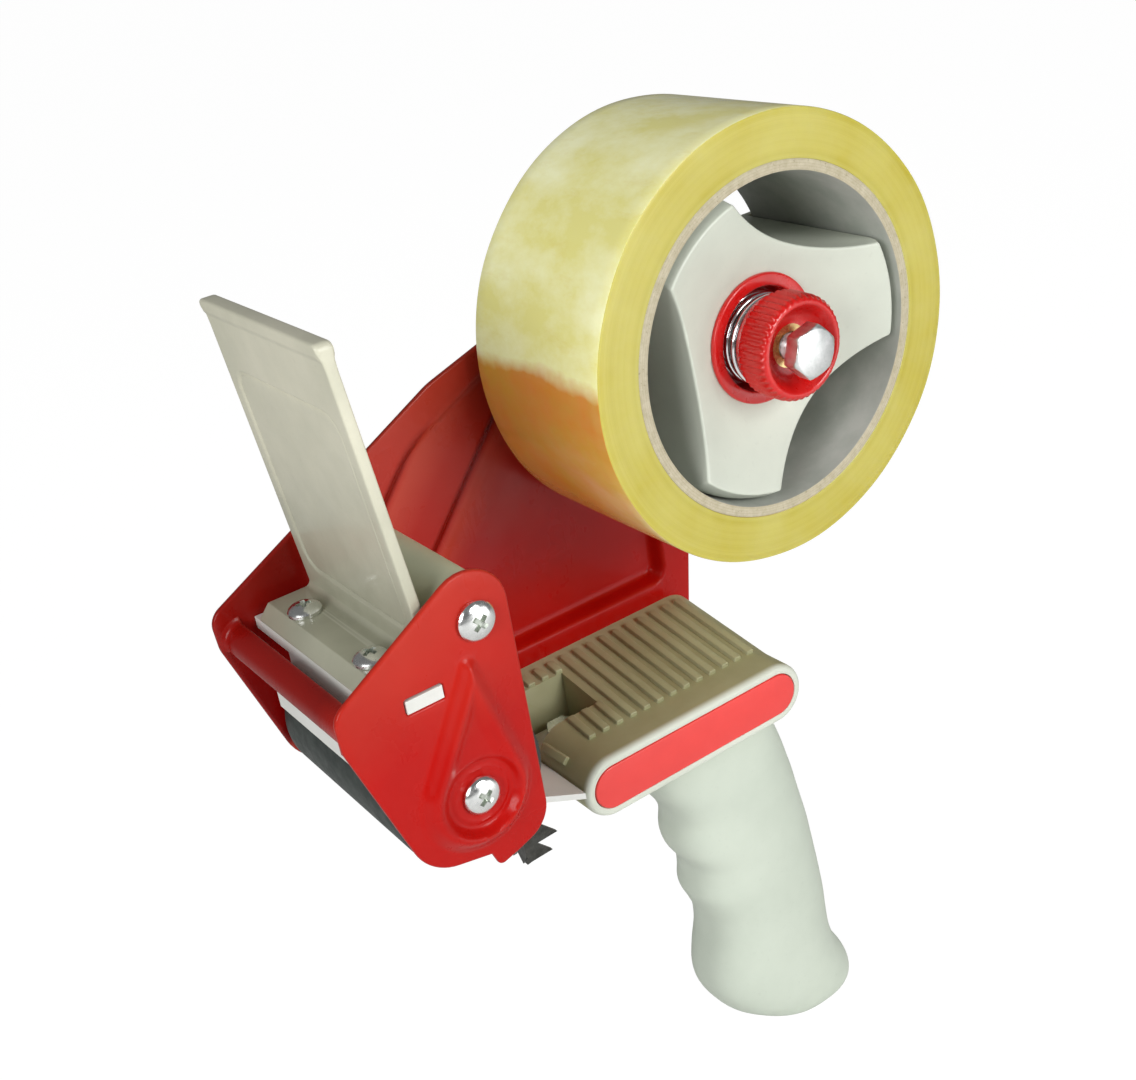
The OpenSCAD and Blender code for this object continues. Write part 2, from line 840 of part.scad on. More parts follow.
module knob() {
    tooth_r = 0.5;
    rim_r = knob_r - tooth_r;
    color("crimson")
        difference() {
            union() {
                y_bar([0, 0], knob_y[0], knob_y[1], rim_r);
                for (i = [0:knob_teeth - 1])
                    rotate([0, 360 * i / knob_teeth, 0])
                        y_bar([rim_r, 0], knob_y[0] + 0.6, knob_y[1] - 0.6, tooth_r);
            }
            rotate([90, 0, 0])
                rotate_extrude()
                    polygon([[0, -dish_y], [dish_r - 3, -dish_y], [dish_r, -knob_y[0]],
                        [dish_r, 1 - knob_y[0]], [0, 1 - knob_y[0]]]);
            y_bar([0, 0], knob_y[0] - 1, knob_y[1] + 1, insert_r + skin);
        }
}

module knob_insert() {
    color("goldenrod")
        y_tube([0, 0], dish_y, knob_y[1] - skin, insert_r, bolt_r + running_gap);
}

// ---- Tape ----

module tape_core() {
    color("burlywood")
        y_tube([0, 0], roll_y[0], roll_y[1], core_out_r, core_r);
}

module tape_roll() {
    color("khaki")
        y_tube([0, 0], roll_y[0], roll_y[1], roll_r, core_out_r + 0.02);
}

main_frame();
guide_plate();
wiper();
wiper_screws();
guide_roller();
guide_axle();
guide_screws();
roller_sleeve();
roller_tube();
roller_plugs();
roller_axle();
roller_screws();
blade();
blade_bracket();
blade_rivets();
bracket_bolt();
bracket_nut();
handle_block();
handle_inset();
handle_screws();
handle_grip();
grip_screws();
hub();
hub_bush();
friction_washer();
hub_bolt();
back_washer();
lock_nut();
brake_cup();
tension_spring();
thrust_washer();
knob();
knob_insert();
tape_core();
tape_roll();
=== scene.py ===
"""Hand tape gun: the looks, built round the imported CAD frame. Lengths in the builders are millimetres."""

import math
import random

import bmesh
import bpy
import numpy as np
from mathutils import Matrix, Vector, geometry


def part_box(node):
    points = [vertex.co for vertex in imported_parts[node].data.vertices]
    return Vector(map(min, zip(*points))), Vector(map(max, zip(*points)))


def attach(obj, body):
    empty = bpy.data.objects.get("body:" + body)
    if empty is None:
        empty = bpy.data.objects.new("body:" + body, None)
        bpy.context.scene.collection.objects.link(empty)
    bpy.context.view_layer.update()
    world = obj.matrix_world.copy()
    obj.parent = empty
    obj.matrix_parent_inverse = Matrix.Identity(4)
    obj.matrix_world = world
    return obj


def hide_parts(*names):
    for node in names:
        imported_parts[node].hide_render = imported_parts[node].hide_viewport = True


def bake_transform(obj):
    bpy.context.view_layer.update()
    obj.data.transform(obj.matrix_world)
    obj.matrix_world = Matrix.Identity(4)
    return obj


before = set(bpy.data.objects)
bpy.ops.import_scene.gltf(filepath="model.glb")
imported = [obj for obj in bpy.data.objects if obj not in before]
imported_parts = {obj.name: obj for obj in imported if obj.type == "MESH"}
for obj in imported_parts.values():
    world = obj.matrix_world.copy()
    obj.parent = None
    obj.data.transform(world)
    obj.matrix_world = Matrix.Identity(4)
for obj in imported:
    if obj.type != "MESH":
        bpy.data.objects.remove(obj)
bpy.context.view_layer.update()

MM = 0.001
TAU = 2 * math.pi


def box_mm(node):
    low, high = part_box(node)
    return low / MM, high / MM


# ---------------------------------------------------------------- outlines

def corner_arc(a, b, c, r, n):
    """Points of the arc of radius r that rounds the corner b between a and c."""
    a, b, c = Vector(a), Vector(b), Vector(c)
    u, v = (a - b).normalized(), (c - b).normalized()
    half = math.acos(max(-1, min(1, u.dot(v)))) / 2
    if half > math.radians(89.5):
        return [tuple(b)]
    middle = b + (u + v).normalized() * r / math.sin(half)
    start = b + u * r / math.tan(half) - middle
    end = b + v * r / math.tan(half) - middle
    a0 = math.atan2(start.y, start.x)
    turn = math.atan2(start.x * end.y - start.y * end.x, start.dot(end))
    return [(middle.x + r * math.cos(a0 + turn * i / n), middle.y + r * math.sin(a0 + turn * i / n))
            for i in range(n + 1)]


def rounded(outline, n=8):
    """Closed outline of (u, v, corner radius) turned into points; radius 0 keeps the corner."""
    points = []
    for i, (u, v, r) in enumerate(outline):
        before, after = outline[i - 1], outline[(i + 1) % len(outline)]
        points += corner_arc(before[:2], (u, v), after[:2], r, n) if r > 0 else [(u, v)]
    return points


def circle(centre, r, n=48):
    return [(centre[0] + r * math.cos(TAU * i / n), centre[1] + r * math.sin(TAU * i / n)) for i in range(n)]


def box_outline(u0, v0, u1, v1, r):
    return rounded([(u0, v0, r), (u1, v0, r), (u1, v1, r), (u0, v1, r)], 6)


def stadium(u0, u1, v, r, n=24):
    left = [(u0 + r * math.cos(a), v + r * math.sin(a)) for a in np.linspace(math.pi / 2, 1.5 * math.pi, n)]
    right = [(u1 + r * math.cos(a), v + r * math.sin(a)) for a in np.linspace(-math.pi / 2, math.pi / 2, n)]
    return left + right


def area(points):
    p = np.array(points)
    q = np.roll(p, -1, 0)
    return float((p[:, 0] * q[:, 1] - q[:, 0] * p[:, 1]).sum() / 2)


def counter_clockwise(points):
    return list(points) if area(points) > 0 else list(points)[::-1]


def densify(points, step, crown=0.0):
    """Splits the edges of a counter-clockwise outline; a crown lifts the new points off the straight line."""
    out = []
    for i, p in enumerate(points):
        q = points[(i + 1) % len(points)]
        n = max(1, int(math.dist(p, q) / step))
        for k in range(n):
            t = k / n
            lift = crown * t * (1 - t) * math.dist(p, q)
            out.append((p[0] + (q[0] - p[0]) * t + (q[1] - p[1]) * lift,
                        p[1] + (q[1] - p[1]) * t - (q[0] - p[0]) * lift))
    return out


def grow(points, d):
    """Moves a counter-clockwise closed outline outwards by d."""
    p = np.array(points, float)
    ahead = np.roll(p, -1, 0) - p
    ahead /= np.maximum(np.linalg.norm(ahead, axis=1), 1e-9)[:, None]
    behind = np.roll(ahead, 1, 0)
    n1 = np.c_[ahead[:, 1], -ahead[:, 0]]
    n0 = np.c_[behind[:, 1], -behind[:, 0]]
    n = n0 + n1
    n /= np.maximum((n * n1).sum(1), 0.35)[:, None]
    return [tuple(q) for q in p + n * d]


def inside(points, poly):
    """Which of the points lie inside a closed outline."""
    p, poly = np.asarray(points, float), np.asarray(poly, float)
    hit = np.zeros(len(p), bool)
    for a, b in zip(poly, np.roll(poly, -1, 0)):
        if a[1] == b[1]:
            continue
        crosses = (a[1] > p[:, 1]) != (b[1] > p[:, 1])
        hit ^= crosses & (p[:, 0] < (b[0] - a[0]) * (p[:, 1] - a[1]) / (b[1] - a[1]) + a[0])
    return hit


def smooth_step(t):
    t = np.clip(t, 0, 1)
    return t * t * (3 - 2 * t)


def smoother_step(t):
    t = np.clip(t, 0, 1)
    return t * t * t * (t * (6 * t - 15) + 10)


# ---------------------------------------------------------------- meshes

class Shell:
    """Collects points and faces of one piece."""

    def __init__(self):
        self.points = []
        self.faces = []

    def loop(self, points):
        start = len(self.points)
        self.points += [tuple(p) for p in points]
        return list(range(start, len(self.points)))

    def bridge(self, a, b, closed=True):
        n = len(a)
        for i in range(n if closed else n - 1):
            j = (i + 1) % n
            self.faces.append((a[i], a[j], b[j], b[i]))

    def skin(self, loops, closed=False):
        ids = [self.loop(l) for l in loops]
        for a, b in zip(ids, ids[1:]):
            self.bridge(a, b)
        if closed:
            self.bridge(ids[-1], ids[0])
        return ids

    def cap(self, outline, holes, place, grid=None, dense=None):
        """Fills an outline with holes by triangles, with inner points every grid mm where dense(points) holds."""
        rings = [outline] + list(holes)
        points = [Vector(p) for ring in rings for p in ring]
        edges, start = [], 0
        for ring in rings:
            edges += [(start + i, start + (i + 1) % len(ring)) for i in range(len(ring))]
            start += len(ring)
        if grid:
            points += [Vector(p) for p in inner_points(outline, holes, grid, dense)]
        found, _, triangles, *_ = geometry.delaunay_2d_cdt(points, edges, [], 1, 1e-5, False)
        centres = [((found[t[0]] + found[t[1]] + found[t[2]]) / 3)[:] for t in triangles]
        keep = inside(centres, outline)
        for hole in holes:
            keep &= ~inside(centres, hole)
        ids = self.loop([place(p.x, p.y) for p in found])
        self.faces += [tuple(ids[i] for i in t) for t, k in zip(triangles, keep) if k]

    def add(self, other):
        start = len(self.points)
        self.points += other.points
        self.faces += [tuple(i + start for i in f) for f in other.faces]
        return self

    def moved(self, matrix):
        self.points = [tuple(matrix @ Vector(p)) for p in self.points]
        return self


def inner_points(outline, holes, grid, dense):
    low, high = np.min(outline, 0), np.max(outline, 0)
    rows = np.arange(low[1] + grid / 2, high[1], grid * 0.866)
    points, coarse = [], []
    for j, v in enumerate(rows):
        u = np.arange(low[0] + (j % 2) * grid / 2, high[0], grid)
        points.append(np.c_[u, np.full(len(u), v)])
        coarse.append((np.arange(len(u)) % 4 == 0) & (j % 4 == 0))
    points, coarse = np.concatenate(points), np.concatenate(coarse)
    keep = inside(points, outline)
    if dense is not None:
        keep &= coarse | dense(points)
    points = points[keep]
    away = np.ones(len(points), bool)
    for ring in [outline] + list(holes):
        ring = np.asarray(densify(ring, grid), float)
        for k in range(0, len(ring), 64):
            gap = np.linalg.norm(points[:, None] - ring[None, k:k + 64], axis=2).min(1)
            away &= gap > grid * 0.6
    for hole in holes:
        away &= ~inside(points, hole)
    return [tuple(p) for p in points[away]]


def edge_levels(thickness, r, n=3):
    """(inset, depth) pairs that round both edges of a slab."""
    first = [(r * (1 - math.sin(a)), r * (1 - math.cos(a))) for a in np.linspace(0, math.pi / 2, n + 1)]
    return first + [(inset, thickness - w) for inset, w in reversed(first)]


def slab(outline, thickness, r, place, holes=(), grid=None, dense=None, levels=None, n=3):
    """Closed slab with rounded edges; place(u, v, w) puts a point of the slab into the row frame."""
    shell = Shell()
    outline = counter_clockwise(outline)
    holes = [counter_clockwise(h) for h in holes]
    levels = levels or edge_levels(thickness, r, n)
    shell.skin([[place(u, v, w) for u, v in grow(outline, -inset)] for inset, w in levels])
    for hole in holes:
        shell.skin([[place(u, v, w) for u, v in grow(hole, inset)] for inset, w in levels])
    for inset, w in (levels[0], levels[-1]):
        shell.cap(grow(outline, -inset), [grow(h, inset) for h in holes],
                  lambda u, v, w=w: place(u, v, w), grid, dense)
    return shell


def along_y(y0):
    return lambda u, v, w: (u, y0 + w, v)


def lathe(profile, axis=(0, 0), steps=96, closed=True):
    """Solid of revolution about Y; profile is a list of (radius, y)."""
    shell = Shell()
    loops = [[(axis[0] + r * math.cos(TAU * i / steps), y, axis[1] + r * math.sin(TAU * i / steps))
              for i in range(steps)] for r, y in profile]
    shell.skin(loops, closed)
    return shell


def ring_profile(r_out, r_in, y0, y1, edge, n=3):
    return rounded([(r_in, y0, edge), (r_out, y0, edge), (r_out, y1, edge), (r_in, y1, edge)], n)


def sweep(path, r, sides=12):
    """Tube of radius r along a list of points."""
    shell = Shell()
    loops = []
    for i, p in enumerate(path):
        tangent = (path[min(i + 1, len(path) - 1)] - path[max(i - 1, 0)]).normalized()
        side = tangent.cross(Vector((0, 1, 0))).normalized()
        up = side.cross(tangent)
        loops.append([p + r * (math.cos(TAU * k / sides) * side + math.sin(TAU * k / sides) * up)
                      for k in range(sides)])
    ids = shell.skin(loops)
    shell.faces += [tuple(ids[0]), tuple(reversed(ids[-1]))]
    return shell


def make(name, shell, body, materials, replaces=(), sharp=40, pick=None, tidy=True):
    """Turns a shell into a piece that rides on a body. pick(face centre, normal) chooses a material index."""
    mesh = bpy.data.meshes.new(name)
    mesh.from_pydata([Vector(p) * MM for p in shell.points], [], shell.faces)
    bm = bmesh.new()
    bm.from_mesh(mesh)
    bmesh.ops.remove_doubles(bm, verts=bm.verts, dist=2e-6)
    if tidy:
        bmesh.ops.dissolve_degenerate(bm, edges=bm.edges, dist=1e-7)
    bmesh.ops.recalc_face_normals(bm, faces=bm.faces)
    bm.to_mesh(mesh)
    bm.free()
    obj = bpy.data.objects.new(name, mesh)
    bpy.context.scene.collection.objects.link(obj)
    finish_piece(obj, body, materials, replaces, sharp, pick)
    return obj


def finish_piece(obj, body, materials, replaces=(), sharp=40, pick=None):
    mesh = obj.data
    mesh.polygons.foreach_set("use_smooth", [True] * len(mesh.polygons))
    mesh.set_sharp_from_angle(angle=math.radians(sharp))
    mesh.materials.clear()
    for m in materials if isinstance(materials, (list, tuple)) else [materials]:
        mesh.materials.append(m)
    if pick:
        for f in mesh.polygons:
            f.material_index = pick(f.center / MM, f.normal)
    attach(obj, body)
    if replaces:
        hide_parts(*replaces)


def carve(obj, cutter_shell, operation="DIFFERENCE"):
    """Cuts (or joins) a shell into a piece and keeps only the result."""
    mesh = bpy.data.meshes.new("cutter")
    mesh.from_pydata([Vector(p) * MM for p in cutter_shell.points], [], cutter_shell.faces)
    bm = bmesh.new()
    bm.from_mesh(mesh)
    bmesh.ops.remove_doubles(bm, verts=bm.verts, dist=2e-6)
    bmesh.ops.recalc_face_normals(bm, faces=bm.faces)
    bm.to_mesh(mesh)
    bm.free()
    cutter = bpy.data.objects.new("cutter", mesh)
    bpy.context.scene.collection.objects.link(cutter)
    modifier = obj.modifiers.new("cut", "BOOLEAN")
    modifier.operation = operation
    modifier.solver = "EXACT"
    modifier.use_self = operation == "DIFFERENCE"
    modifier.object = cutter
    bpy.context.view_layer.update()
    result = bpy.data.meshes.new_from_object(obj.evaluated_get(bpy.context.evaluated_depsgraph_get()))
    obj.modifiers.remove(modifier)
    obj.data = result
    bpy.data.objects.remove(cutter)
    bpy.data.meshes.remove(mesh)


def rough_object(name, shell):
    """A piece that is still to be cut before it is finished."""
    mesh = bpy.data.meshes.new(name)
    mesh.from_pydata([Vector(p) * MM for p in shell.points], [], shell.faces)
    bm = bmesh.new()
    bm.from_mesh(mesh)
    bmesh.ops.remove_doubles(bm, verts=bm.verts, dist=2e-6)
    bmesh.ops.recalc_face_normals(bm, faces=bm.faces)
    bm.to_mesh(mesh)
    bm.free()
    obj = bpy.data.objects.new(name, mesh)
    bpy.context.scene.collection.objects.link(obj)
    return obj


# ---------------------------------------------------------------- materials

class Nodes:
    """Short hand for building a node material in object space."""

    def __init__(self, name):
        self.material = bpy.data.materials.new(name)
        self.material.use_nodes = True
        self.tree = self.material.node_tree
        self.shader = self.tree.nodes["Principled BSDF"]
        self.place = self.tree.nodes.new("ShaderNodeTexCoord").outputs["Object"]

    def new(self, kind, **inputs):
        node = self.tree.nodes.new(kind)
        for key, value in inputs.items():
            self.feed(node, key.replace("_", " "), value)
        return node

    def feed(self, node, key, value):
        socket = node.inputs[int(key)] if key.isdigit() else node.inputs[key]
        if isinstance(value, bpy.types.NodeSocket):
            self.tree.links.new(value, socket)
        elif isinstance(value, (tuple, list)) and len(value) == 3 and socket.type == "RGBA":
            socket.default_value = (*value, 1)
        else:
            socket.default_value = value

    def set(self, key, value):
        self.feed(self.shader, key, value)

    def math(self, operation, a, b=0.0, c=0.0):
        node = self.tree.nodes.new("ShaderNodeMath")
        node.operation = operation
        for i, value in enumerate((a, b, c)):
            self.feed(node, str(i), value)
        return node.outputs[0]

    def noise(self, size, detail=4, roughness=0.55, stretch=(1, 1, 1), place=None):
        """Noise whose features are about size millimetres wide."""
        mapping = self.new("ShaderNodeMapping", Vector=place or self.place, Scale=tuple(1 / s for s in stretch))
        node = self.new("ShaderNodeTexNoise", Vector=mapping.outputs[0], Scale=1 / (size * MM),
                        Detail=detail, Roughness=roughness)
        return node.outputs["Fac"]

    def ramp(self, value, low, high, a=0.0, b=1.0):
        node = self.new("ShaderNodeMapRange", Value=value)
        node.inputs["From Min"].default_value = low
        node.inputs["From Max"].default_value = high
        for key, end in (("To Min", a), ("To Max", b)):
            self.feed(node, key, end)
        return node.outputs["Result"]

    def mix(self, factor, a, b, blend="MIX"):
        node = self.tree.nodes.new("ShaderNodeMix")
        node.data_type = "RGBA"
        node.blend_type = blend
        self.feed(node, "0", factor)
        for socket, value in ((node.inputs[6], a), (node.inputs[7], b)):
            if isinstance(value, bpy.types.NodeSocket):
                self.tree.links.new(value, socket)
            else:
                socket.default_value = (*value, 1)
        return node.outputs[2]

    def bump(self, height, strength, distance, normal=None):
        node = self.new("ShaderNodeBump", Height=height, Strength=strength, Distance=distance * MM)
        if normal:
            self.feed(node, "Normal", normal)
        return node.outputs[0]

    def edges(self, low=0.52, high=0.62):
        """1 on sharp outer edges, 0 elsewhere."""
        return self.ramp(self.new("ShaderNodeNewGeometry").outputs["Pointiness"], low, high)


def plastic(name, light, dark, roughness=0.42, grain=0.35, grain_depth=0.02, patch=22, coat=0.0, edge=0.25):
    """Moulded plastic: cloudy colour, fine spark texture, rubbed edges."""
    n = Nodes(name)
    cloud = n.noise(patch, 5)
    speck = n.noise(1.3, 3)
    color = n.mix(n.ramp(cloud, 0.35, 0.65), light, dark)
    color = n.mix(n.ramp(speck, 0.62, 0.75, 0, 0.10), color, tuple(c * 0.6 for c in dark))
    color = n.mix(n.math("MULTIPLY", n.edges(), edge), color, tuple(min(1, c * 1.5 + 0.05) for c in light))
    n.set("Base Color", color)
    n.set("Roughness", n.ramp(n.noise(6, 4), 0.3, 0.7, roughness - 0.07, roughness + 0.08))
    n.set("Coat Weight", coat)
    n.set("Coat Roughness", 0.12)
    n.set("Specular IOR Level", 0.45)
    fine = n.bump(n.noise(grain, 2), 0.5, grain_depth)
    n.set("Normal", n.bump(n.noise(9, 2), 0.25, 0.06, fine))
    return n.material


def wiper_plastic(name):
    """Moulded grey with painted shade: darker at the foot, plain towards the top."""
    n = Nodes(name)
    x, y, z = n.new("ShaderNodeSeparateXYZ", Vector=n.place).outputs
    cloud = n.ramp(n.noise(20, 5), 0.35, 0.65)
    plain_grey = n.mix(cloud, (0.69, 0.67, 0.53), (0.60, 0.59, 0.46))
    # Darker grey mixed in towards the foot: painted shade.
    painted_shade_grey = n.mix(cloud, (0.42, 0.42, 0.32), (0.36, 0.36, 0.27))
    height = n.math("ADD", n.math("DIVIDE", z, MM), n.math("MULTIPLY", n.noise(16, 4), 20.0))
    color = n.mix(n.ramp(height, -26, 22), painted_shade_grey, plain_grey)
    color = n.mix(n.ramp(n.noise(1.3, 3), 0.62, 0.75, 0, 0.10), color, (0.30, 0.30, 0.22))
    color = n.mix(n.math("MULTIPLY", n.edges(), 0.3), color, (0.80, 0.80, 0.70))
    n.set("Base Color", color)
    n.set("Roughness", n.ramp(n.noise(6, 4), 0.3, 0.7, 0.32, 0.46))
    n.set("Coat Weight", 0.2)
    n.set("Coat Roughness", 0.12)
    n.set("Specular IOR Level", 0.45)
    n.set("Normal", n.bump(n.noise(9, 2), 0.25, 0.06, n.bump(n.noise(0.35, 2), 0.5, 0.02)))
    return n.material


def two_tone_block(name):
    """Moulded grey: pale on the near rim round the inset, and darker and yellower on the top, where the darkness is
    painted shade.
    """
    n = Nodes(name)
    x, y, z = n.new("ShaderNodeSeparateXYZ", Vector=n.place).outputs
    cloud = n.ramp(n.noise(18, 5), 0.35, 0.65)
    # The top is given a darker colour than the near rim: painted shade.
    top = n.mix(cloud, (0.42, 0.42, 0.24), (0.35, 0.34, 0.185))
    rim = n.mix(cloud, (0.66, 0.69, 0.60), (0.60, 0.63, 0.54))
    color = n.mix(n.ramp(n.math("DIVIDE", y, MM), -41.2, -42.6), top, rim)
    color = n.mix(n.math("MULTIPLY", n.edges(), 0.3), color, (0.62, 0.62, 0.46))
    n.set("Base Color", color)
    n.set("Roughness", n.ramp(n.noise(6, 4), 0.3, 0.7, 0.38, 0.53))
    n.set("Specular IOR Level", 0.45)
    n.set("Normal", n.bump(n.noise(9, 2), 0.25, 0.06, n.bump(n.noise(0.35, 2), 0.5, 0.02)))
    return n.material


FOLDS = (-45.0, -24.9)                          # where the slanting folds run, as stripe() measures


def red_paint(name):
    """Glossy powder coat with a faint orange peel and dust, and painted light: a sheen towards the top, shade in the
    front corner and in the folds, highlights beside the folds.
    """
    n = Nodes(name)
    base = n.mix(n.ramp(n.noise(30, 4), 0.3, 0.7), (0.47, 0.004, 0.002), (0.40, 0.003, 0.001))
    dust = n.ramp(n.noise(2.2, 6, 0.7), 0.60, 0.80, 0, 0.12)
    color = n.mix(dust, base, (0.55, 0.05, 0.03))
    # Painted sheen: lighter towards the top of both plates.
    x, y, z = n.new("ShaderNodeSeparateXYZ", Vector=n.place).outputs
    height = n.math("ADD", n.math("DIVIDE", z, MM), n.math("MULTIPLY", n.noise(24, 3), 30.0))
    color = n.mix(n.ramp(height, -34, 12, 0, 0.6), color, (0.54, 0.065, 0.035))
    color = n.mix(n.math("MULTIPLY", n.edges(0.53, 0.66), 0.35), color, (0.65, 0.10, 0.07))
    # Little light reaches the front corner between the plates.
    corner = n.math("MULTIPLY", n.ramp(x, -0.086, -0.106), n.ramp(y, -0.057, -0.045))
    color = n.mix(n.math("MULTIPLY", corner, 0.6), color, (0.12, 0.001, 0.001))
    # Painted shade lies in the slanting folds of the side plate, and painted highlights on the panels beside them.
    across = n.math("DIVIDE", n.math("SUBTRACT", n.math("MULTIPLY", x, 0.766), n.math("MULTIPLY", z, 0.643)), MM)
    on_plate = n.math("MULTIPLY", n.ramp(y, -0.004, -0.002), n.ramp(z, -0.079, -0.072))
    on_plate = n.math("MULTIPLY", on_plate, n.ramp(x, -0.004, -0.012))
    below = n.math("SUBTRACT", n.math("ADD", n.math("MULTIPLY", x, 0.5), 0.0275), z)
    on_plate = n.math("MULTIPLY", on_plate, n.ramp(below, 0.0035, 0.0075))
    for fold in FOLDS:
        gap = n.math("ABSOLUTE", n.math("SUBTRACT", across, fold))
        color = n.mix(n.math("MULTIPLY", n.ramp(gap, 2.2, 1.0, 0, 0.75), on_plate), color, (0.15, 0.001, 0.001))
        fold_highlight = n.math("MULTIPLY", n.ramp(across, fold + 12, fold + 3.0), n.ramp(across, fold + 1.6, fold + 3.4))
        color = n.mix(n.math("MULTIPLY", n.math("MULTIPLY", fold_highlight, 0.5), on_plate), color, (0.66, 0.10, 0.06))
    n.set("Base Color", color)
    scratch = n.ramp(n.noise(3, 5, 0.6, (1, 1, 9)), 0.56, 0.64)
    n.set("Roughness", n.math("ADD", n.ramp(n.noise(12, 5), 0.3, 0.7, 0.24, 0.36),
                              n.math("MULTIPLY", scratch, 0.08)))
    n.set("Specular IOR Level", 0.16)
    n.set("Coat Weight", 0.10)
    n.set("Coat Roughness", n.ramp(n.noise(8, 4), 0.3, 0.7, 0.06, 0.16))
    peel = n.bump(n.noise(1.6, 2), 0.35, 0.018)
    n.set("Normal", peel)
    n.set("Coat Normal", n.bump(n.noise(2.4, 2), 0.35, 0.014))
    return n.material


def glossy_red(name, light, dark, roughness=0.22):
    n = Nodes(name)
    n.set("Base Color", n.mix(n.ramp(n.noise(10, 4), 0.3, 0.7), light, dark))
    n.set("Roughness", n.ramp(n.noise(4, 5), 0.3, 0.7, roughness - 0.05, roughness + 0.12))
    n.set("Subsurface Weight", 0.08)
    n.set("Subsurface Radius", (0.004, 0.001, 0.001))
    n.set("Subsurface Scale", 0.3)
    n.set("Coat Weight", 0.3)
    n.set("Coat Roughness", 0.1)
    n.set("Normal", n.bump(n.noise(0.8, 3), 0.3, 0.012))
    return n.material


def metal(name, light, dark, roughness=0.22, streak=(1, 1, 1), grain=0.5, depth=0.01):
    n = Nodes(name)
    tone = n.noise(3.5, 6, 0.65, streak)
    n.set("Base Color", n.mix(n.ramp(tone, 0.35, 0.68), light, dark))
    n.set("Metallic", 1.0)
    n.set("Roughness", n.ramp(n.noise(1.8, 5, 0.6, streak), 0.3, 0.7, roughness - 0.08, roughness + 0.12))
    n.set("Normal", n.bump(n.noise(grain, 3, 0.6, streak), 0.4, depth))
    return n.material


def black_rubber(name):
    n = Nodes(name)
    n.set("Base Color", n.mix(n.ramp(n.noise(7, 5), 0.3, 0.7), (0.012, 0.019, 0.016), (0.026, 0.037, 0.031)))
    n.set("Roughness", n.ramp(n.noise(3, 5), 0.3, 0.7, 0.38, 0.60))
    n.set("Specular IOR Level", 0.55)
    ground = n.bump(n.noise(0.5, 3, 0.6, (6, 1, 6)), 0.5, 0.03)
    n.set("Normal", n.bump(n.noise(2.5, 4), 0.3, 0.04, ground))
    return n.material


def polar(n):
    """Radius from the hub axis in millimetres, and the place along the axis."""
    parts = n.new("ShaderNodeSeparateXYZ", Vector=n.place)
    x, y, z = parts.outputs
    r = n.math("SQRT", n.math("ADD", n.math("MULTIPLY", x, x), n.math("MULTIPLY", z, z)))
    return n.math("DIVIDE", r, MM), x, y, z


GLOW_LINE = (6.5, 0.02)                       # height of the glow's upper edge at y 0, and its slope


def tape_side(name):
    """The wound outside: clear film over yellow adhesive, with cloudy patches where the layers lift."""
    n = Nodes(name)
    radius, x, y, z = polar(n)
    straw, pale, amber = (0.74, 0.70, 0.25), (0.86, 0.86, 0.53), (0.66, 0.55, 0.12)
    cloud = n.noise(14, 5, 0.6, (1, 1.6, 1))
    color = n.mix(n.ramp(cloud, 0.38, 0.66), straw, pale)
    color = n.mix(n.ramp(n.noise(5, 6, 0.65, (1, 3, 1)), 0.55, 0.75, 0, 0.35), color, amber)
    # The red plate behind, seen through the lower front of the roll, is painted on as an orange glow below a ragged
    # line.
    wobble = n.math("MULTIPLY", n.math("SUBTRACT", n.noise(22, 4), 0.5), 11.0)
    height = n.math("ADD", n.math("DIVIDE", z, MM), wobble)
    line = n.math("ADD", GLOW_LINE[0], n.math("MULTIPLY", n.math("DIVIDE", y, MM), GLOW_LINE[1]))
    glow = n.ramp(n.math("SUBTRACT", line, height), -1.5, 2.5)
    deep = n.math("MULTIPLY", n.ramp(y, -0.026, -0.050), n.ramp(z, -0.004, -0.030))
    front = n.math("MULTIPLY", n.ramp(x, 0.012, -0.002), n.math("SUBTRACT", 1.0, n.math("MULTIPLY", deep, 0.55)))
    orange = n.mix(n.ramp(n.noise(11, 4), 0.3, 0.7), (0.56, 0.17, 0.006), (0.50, 0.25, 0.014))
    color = n.mix(n.math("MULTIPLY", n.math("MULTIPLY", glow, front), 0.9), color, orange)
    n.set("Base Color", color)
    # The film glows faintly in its own colour: painted light.
    n.set("Emission Color", color)
    n.set("Emission Strength", 0.24)
    n.set("Roughness", n.ramp(n.noise(7, 5), 0.3, 0.7, 0.12, 0.26))
    n.set("Subsurface Weight", 0.2)
    n.set("Subsurface Radius", (0.006, 0.005, 0.002))
    n.set("Subsurface Scale", 0.8)
    n.set("Coat Weight", 0.6)
    n.set("Coat Roughness", 0.09)
    ripple = n.bump(n.noise(6, 3, 0.5, (1, 5, 1)), 0.35, 0.08)
    n.set("Normal", n.bump(n.noise(26, 2), 0.3, 0.25, ripple))
    return n.material


def tape_face(name):
    """The roll's flat face: hundreds of film edges, seen as fine rings in amber."""
    n = Nodes(name)
    radius, x, y, z = polar(n)
    flat = n.new("ShaderNodeCombineXYZ", X=radius, Y=0.0, Z=0.0).outputs[0]
    rings = n.new("ShaderNodeTexNoise", Vector=flat, Scale=5.5, Detail=5.0, Roughness=0.7).outputs["Fac"]
    broad = n.new("ShaderNodeTexNoise", Vector=flat, Scale=0.7, Detail=2.0, Roughness=0.5).outputs["Fac"]
    color = n.mix(n.ramp(rings, 0.35, 0.65), (0.52, 0.44, 0.045), (0.40, 0.335, 0.022))
    color = n.mix(n.ramp(broad, 0.35, 0.7, 0, 0.5), color, (0.57, 0.51, 0.11))
    color = n.mix(n.ramp(n.noise(16, 4), 0.35, 0.7, 0, 0.45), color, (0.60, 0.57, 0.19))
    n.set("Base Color", color)
    n.set("Roughness", 0.30)
    n.set("Subsurface Weight", 0.55)
    n.set("Subsurface Radius", (0.006, 0.005, 0.001))
    n.set("Subsurface Scale", 0.8)
    n.set("Normal", n.bump(rings, 0.35, 0.05))
    return n.material


